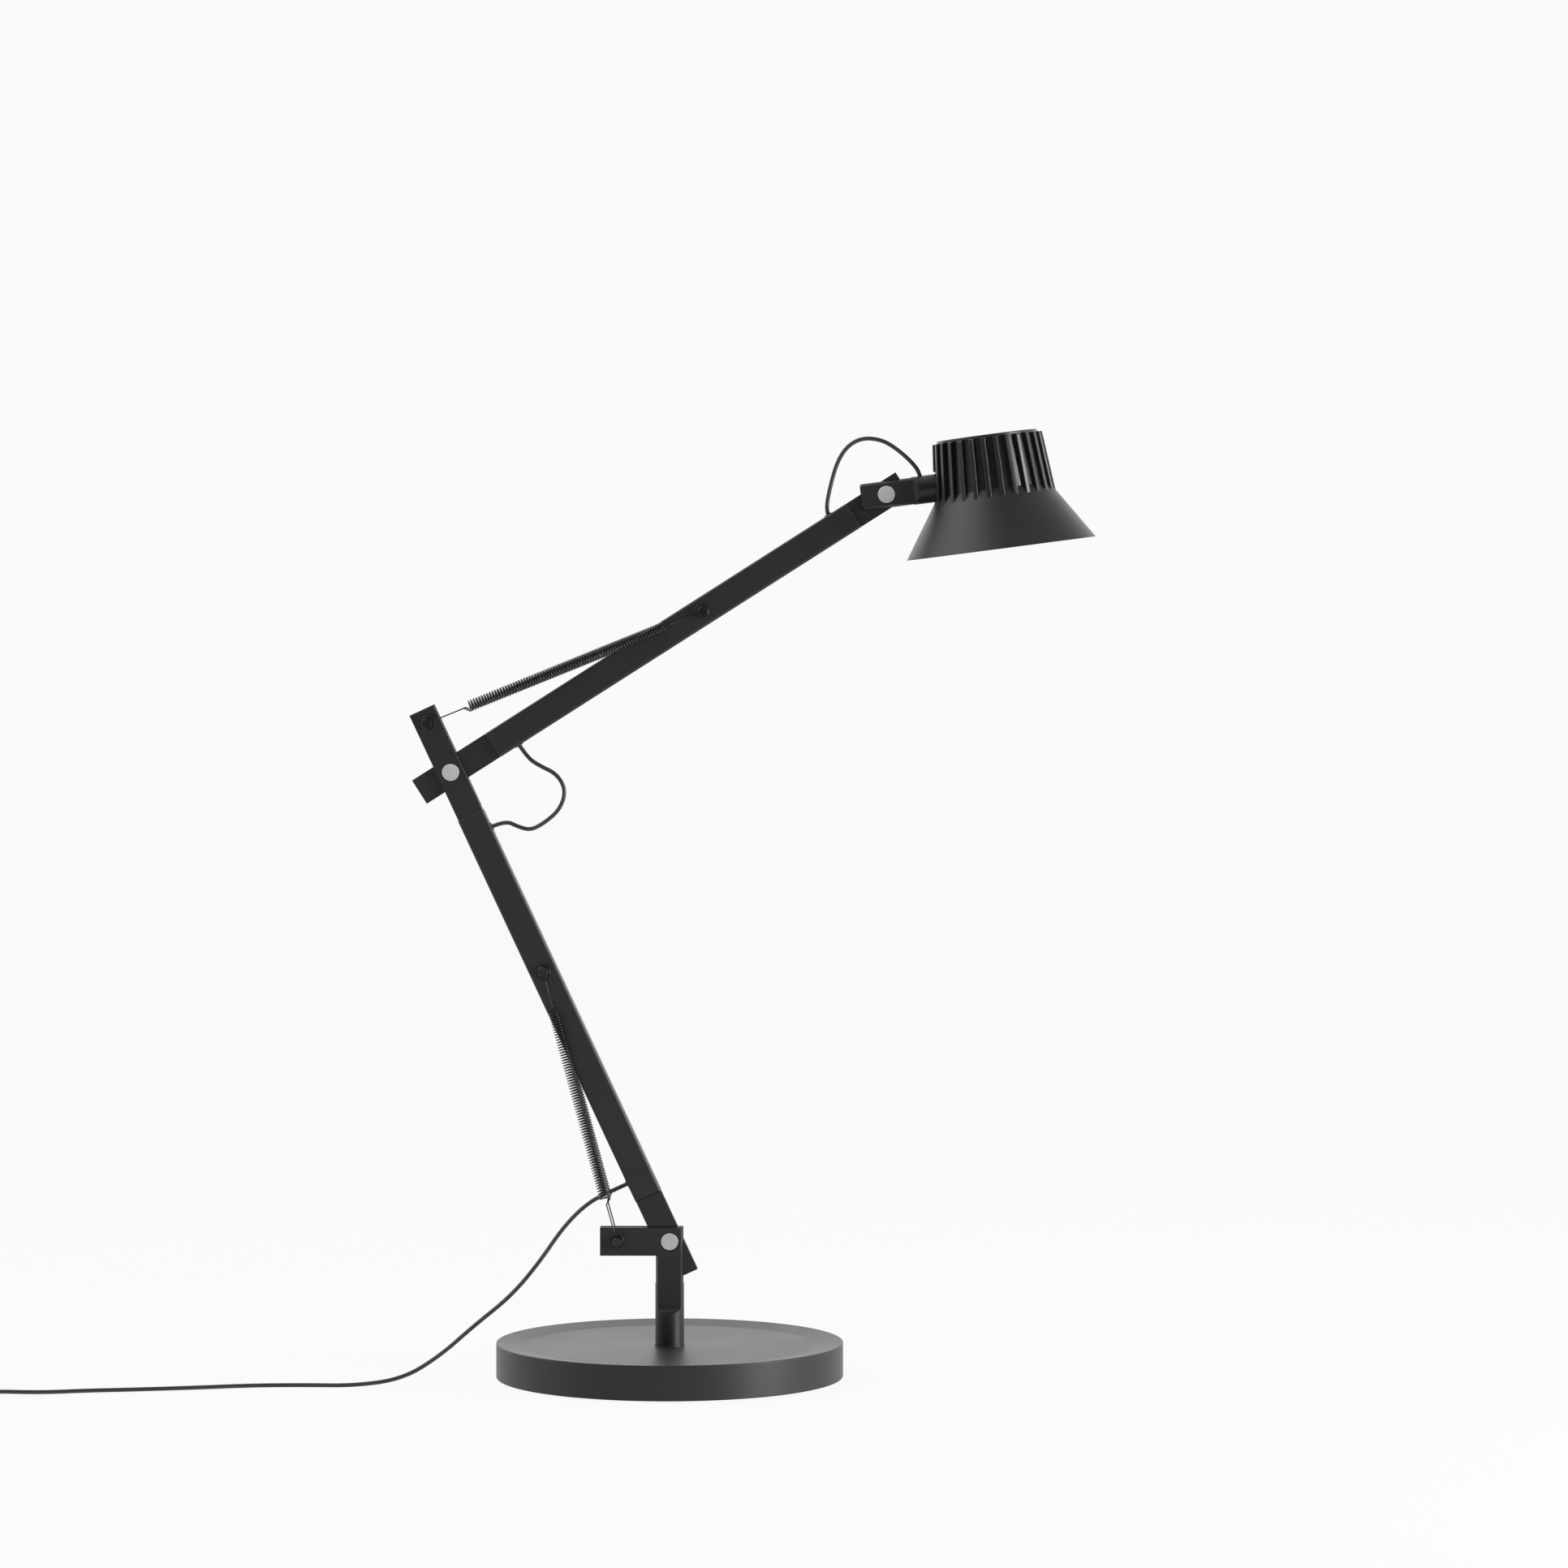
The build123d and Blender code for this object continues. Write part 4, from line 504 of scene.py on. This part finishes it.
def add_grain(tree, shader, scale, peel, depth, soft_edge=0.0):
    """Bump from the grain group, over edges that the tool left slightly round."""
    grain = place_node(tree, "ShaderNodeGroup", node_tree=POWDER_GRAIN, Scale=scale, Peel=peel)
    bump = place_node(tree, "ShaderNodeBump", Strength=0.6, Distance=depth)
    join(tree, grain, "Height", bump, "Height")
    if soft_edge:
        rounded = place_node(tree, "ShaderNodeBevel", samples=EDGE_SAMPLES, Radius=soft_edge)
        join(tree, rounded, "Normal", bump, "Normal")
    join(tree, bump, "Normal", shader, "Normal")


def powder_coat(name, tone, roughness, gloss):
    """Matte dark powder coat, a little paler along its edges as a painted highlight. roughness is its
    lowest and highest.
    """
    material, tree, shader = new_material(name)
    shader.inputs["Specular IOR Level"].default_value = gloss
    mottle = put_mottle(tree, grey(tone * COAT_DARKER), grey(tone * COAT_PALER), 22.0, roughness)
    # Paler edges: a painted highlight where the rounded edges catch the light
    edge_highlight = place_node(tree, "ShaderNodeGroup", node_tree=PAINTED_EDGE_HIGHLIGHT, Width=0.6 * MM, Strength=0.55)
    tint = place_node(tree, "ShaderNodeMix", data_type="RGBA")
    tint.inputs[MIX_OTHER_TONE].default_value = grey(tone * COAT_EDGE_HIGHLIGHT)
    join(tree, edge_highlight, "Mask", tint, "Factor")
    join(tree, mottle, "Colour", tint, MIX_TONE)
    join(tree, tint, MIX_COLOUR, shader, "Base Color")
    join(tree, mottle, "Value", shader, "Roughness")
    add_grain(tree, shader, scale=1500.0, peel=0.4, depth=0.05 * MM, soft_edge=0.4 * MM)
    return material


def plain_finish(
    name, tone, roughness, metallic=0.0, scale=60.0, grain=900.0, depth=0.03 * MM, warm=0.0, spread=0.08
):
    """A moulded or bare surface: uneven tone, uneven gloss and a fine grain."""
    material, tree, shader = new_material(name)
    shader.inputs["Metallic"].default_value = metallic
    darker = grey(tone * (1 - spread), warm)
    paler = grey(tone * (1 + spread), warm)
    mottle = put_mottle(tree, darker, paler, scale, roughness)
    join(tree, mottle, "Colour", shader, "Base Color")
    join(tree, mottle, "Value", shader, "Roughness")
    add_grain(tree, shader, scale=grain, peel=0.3, depth=depth)
    return material


def turned_cap(name, centre):
    """A satin cap with the fine rings that a lathe leaves, round its own pin."""
    material, tree, shader = new_material(name)
    shader.inputs["Metallic"].default_value = 0.25
    spot = place_node(tree, "ShaderNodeTexCoord")
    shift = place_node(tree, "ShaderNodeMapping", Location=(-centre.x, 0, -centre.z))
    flat = place_node(tree, "ShaderNodeMapping", Scale=(1, 0, 1))
    rings = place_node(
        tree, "ShaderNodeTexWave", wave_type="RINGS", rings_direction="SPHERICAL",
        Scale=900.0, Distortion=0.6,
    )
    bump = place_node(tree, "ShaderNodeBump", Strength=0.25, Distance=0.02 * MM)
    mottle = put_mottle(tree, grey(0.43), grey(0.465), 120.0, (0.42, 0.52))
    join(tree, spot, "Object", shift, "Vector")
    join(tree, shift, "Vector", flat, "Vector")
    join(tree, flat, "Vector", rings, "Vector")
    join(tree, rings, "Fac", bump, "Height")
    join(tree, bump, "Normal", shader, "Normal")
    join(tree, mottle, "Colour", shader, "Base Color")
    join(tree, mottle, "Value", shader, "Roughness")
    return material


coat = powder_coat("powder_coat", tone=0.0105, roughness=(0.41, 0.44), gloss=0.42)
arm_coat = powder_coat("arm_coat", tone=0.0105, roughness=(0.37, 0.4), gloss=0.42)
fin_coat = powder_coat("fin_coat", tone=0.012, roughness=(0.27, 0.33), gloss=0.5)
cord_jacket = plain_finish("cord_jacket", tone=0.022, roughness=(0.3, 0.42), scale=200.0, grain=1500.0)
spring_steel = plain_finish("spring_steel", tone=0.006, roughness=(0.2, 0.26), metallic=0.2, scale=150.0)
rubber = plain_finish("rubber", tone=0.018, roughness=(0.6, 0.75), grain=1200.0, depth=0.06 * MM)
zinc_steel = plain_finish("zinc_steel", tone=0.55, roughness=(0.28, 0.42), metallic=1.0, scale=300.0)
casting = plain_finish(
    "casting", tone=0.08, roughness=(0.6, 0.8), metallic=0.4, grain=400.0, depth=0.2 * MM
)
acetal = plain_finish("acetal", tone=0.02, roughness=(0.4, 0.5))
black_plastic = plain_finish(
    "black_plastic", tone=0.022, roughness=(0.45, 0.6), grain=1300.0, depth=0.06 * MM
)
light_board = plain_finish("light_board", tone=0.75, roughness=(0.4, 0.5))
white_moulding = plain_finish("white_moulding", tone=0.82, roughness=(0.18, 0.26))
opal_sheet = plain_finish("opal_sheet", tone=0.8, roughness=(0.32, 0.36), warm=0.01, spread=0.012)
phosphor = plain_finish("phosphor", tone=0.5, roughness=(0.35, 0.5), warm=0.55)

NODES_BY_FINISH = {
    coat: ["base_cover", "post_bracket", "neck_fork", "shade", "diffuser_ring"],
    arm_coat: [
        "lower_arm_foot", "lower_arm_tube", "lower_arm_fork", "upper_arm_foot", "upper_arm_tube",
        "upper_arm_tip",
    ],
    fin_coat: ["heat_sink", "top_cap"],
    rubber: ["base_pad", "lower_arm_grommets", "upper_arm_grommets", "neck_grommet"],
    spring_steel: [
        "lower_spring_root_pin", "lower_spring_arm_pin", "upper_spring_root_pin", "upper_spring_arm_pin",
        "lower_spring_root_hooks", "lower_spring_arm_hooks", "upper_spring_root_hooks",
        "upper_spring_arm_hooks", "lower_spring_coils", "upper_spring_coils",
    ],
    zinc_steel: [
        "base_screws", "spindle_nut", "lower_pivot_pin", "elbow_pivot_pin", "head_pivot_pin",
        "neck_retainer", "plate_screws", "plug_pins",
    ],
    casting: ["base_weight"],
    acetal: [
        "swivel_bush", "thrust_washer", "lower_pivot_washers", "elbow_pivot_washers", "head_pivot_washers",
    ],
    cord_jacket: [
        "power_cord", "power_cord_coil", "elbow_cord", "head_cord", "lower_arm_cable", "upper_arm_cable",
        "neck_cable",
    ],
    black_plastic: ["cord_tie", "power_plug", "switch_module", "dimmer_button"],
    light_board: ["light_plate"],
    white_moulding: ["reflector"],
    opal_sheet: ["diffuser"],
    phosphor: ["light_chip"],
    turned_cap("lower_cap", LOWER_PIVOT): ["lower_pivot_caps"],
    turned_cap("elbow_cap", ELBOW): ["elbow_pivot_caps"],
    turned_cap("head_cap", HEAD_PIVOT): ["head_pivot_caps"],
}


def give_finish(obj, material):
    """Show a piece in one material alone."""
    obj.data.materials.clear()
    obj.data.materials.append(material)


for finish, names in NODES_BY_FINISH.items():
    for node_name in names:
        give_finish(nodes[node_name], finish)
for piece in spring_pieces:
    give_finish(piece, spring_steel)
for piece in (elbow_cord, head_cord, power_cord):
    give_finish(piece, cord_jacket)


# Studio: pale floor, bright sides and back, a darker front, three soft boxes
FLOOR_SIZE = 14.0
FLOOR_DROP = 0.6 * MM
FLOOR_TONE = 0.04
FLOOR_GLOW = 0.915
BACKDROP_TONE = 0.955


def turn_towards(place, aim):
    """The turn of a light or camera at place that looks at aim."""
    return (Vector(aim) - Vector(place)).to_track_quat("-Z", "Y").to_euler()


def studio_floor():
    """A wide pale plane just under the base."""
    bpy.ops.object.select_all(action="DESELECT")
    bpy.ops.mesh.primitive_plane_add(size=FLOOR_SIZE, location=(0, 0, -FLOOR_DROP))
    floor = bpy.context.object
    floor.name = "studio_floor"
    material, tree, shader = new_material("pale_floor")
    shader.inputs["Base Color"].default_value = grey(FLOOR_TONE)
    shader.inputs["Roughness"].default_value = 0.9
    shader.inputs["Specular IOR Level"].default_value = 0.0
    shader.inputs["Emission Color"].default_value = grey(1.0)
    shader.inputs["Emission Strength"].default_value = FLOOR_GLOW
    give_finish(floor, material)


def studio_world():
    """Light from all round, weak in front, strong behind and overhead on the left; a pale backdrop."""
    world = bpy.data.worlds.new("studio")
    bpy.context.scene.world = world
    world.use_nodes = True
    tree = world.node_tree
    tree.nodes.clear()
    way = place_node(tree, "ShaderNodeTexCoord")
    split = place_node(tree, "ShaderNodeSeparateXYZ")
    depth = place_node(
        tree, "ShaderNodeMapRange", interpolation_type="SMOOTHSTEP",
        From_Min=-0.9, From_Max=0.35, To_Min=0.05, To_Max=1.95,
    )
    height = place_node(
        tree, "ShaderNodeMapRange", interpolation_type="SMOOTHSTEP", From_Min=0.2, From_Max=0.8
    )
    overhead = place_node(
        tree, "ShaderNodeMapRange", From_Min=-0.75, From_Max=0.6, To_Min=1.1, To_Max=0.25
    )
    share = place_node(tree, "ShaderNodeMix", data_type="FLOAT", A=1.0)
    level = place_node(tree, "ShaderNodeMath", operation="MULTIPLY")
    lit = place_node(tree, "ShaderNodeBackground")
    seen = place_node(tree, "ShaderNodeBackground", Color=grey(BACKDROP_TONE), Strength=1.0)
    ray = place_node(tree, "ShaderNodeLightPath")
    pick = place_node(tree, "ShaderNodeMixShader")
    out = place_node(tree, "ShaderNodeOutputWorld")
    join(tree, way, "Generated", split, "Vector")
    join(tree, split, "Y", depth, "Value")
    join(tree, split, "X", overhead, "Value")
    join(tree, split, "Z", height, "Value")
    join(tree, height, "Result", share, "Factor")
    join(tree, overhead, "Result", share, "B")
    join(tree, depth, "Result", level, 0)
    join(tree, share, "Result", level, 1)
    join(tree, level, 0, lit, "Strength")
    join(tree, ray, "Is Camera Ray", pick, "Fac")
    join(tree, lit, "Background", pick, 1)
    join(tree, seen, "Background", pick, 2)
    join(tree, pick, "Shader", out, "Surface")


def soft_box(name, place, aim, width, height, power):
    """A soft rectangular light, in metres and watts."""
    bpy.ops.object.light_add(type="AREA", location=place)
    light = bpy.context.object
    light.name = name
    light.data.shape = "RECTANGLE"
    light.data.size = width
    light.data.size_y = height
    light.data.energy = power
    light.rotation_euler = turn_towards(place, aim)


studio_floor()
studio_world()
soft_box("right_box", place=(1.45, -0.65, 0.3), aim=(0.1, 0, 0.3), width=0.7, height=0.5, power=22.0)
soft_box("top_box", place=(-1.3, -0.65, 2.0), aim=(0.1, 0, 0.4), width=2.0, height=1.4, power=20.0)
soft_box("head_box", place=(1.5, -0.75, 0.95), aim=(0.185, 0, 0.52), width=0.4, height=0.4, power=10.0)
bpy.context.scene.view_settings.view_transform = "Standard"

# Camera, at the photograph's viewing angle
CAMERA_PLACE = Vector((0.09, -3.26, 0.4706))
CAMERA_AIM = Vector((0.0659, 0.0, 0.3421))
CAMERA_LENS = 130.4
CAMERA_SENSOR = 36.0
bpy.ops.object.camera_add(location=CAMERA_PLACE)
camera = bpy.context.object
camera.rotation_euler = turn_towards(CAMERA_PLACE, CAMERA_AIM)
camera.data.lens = CAMERA_LENS
camera.data.sensor_width = CAMERA_SENSOR
bpy.context.scene.camera = camera
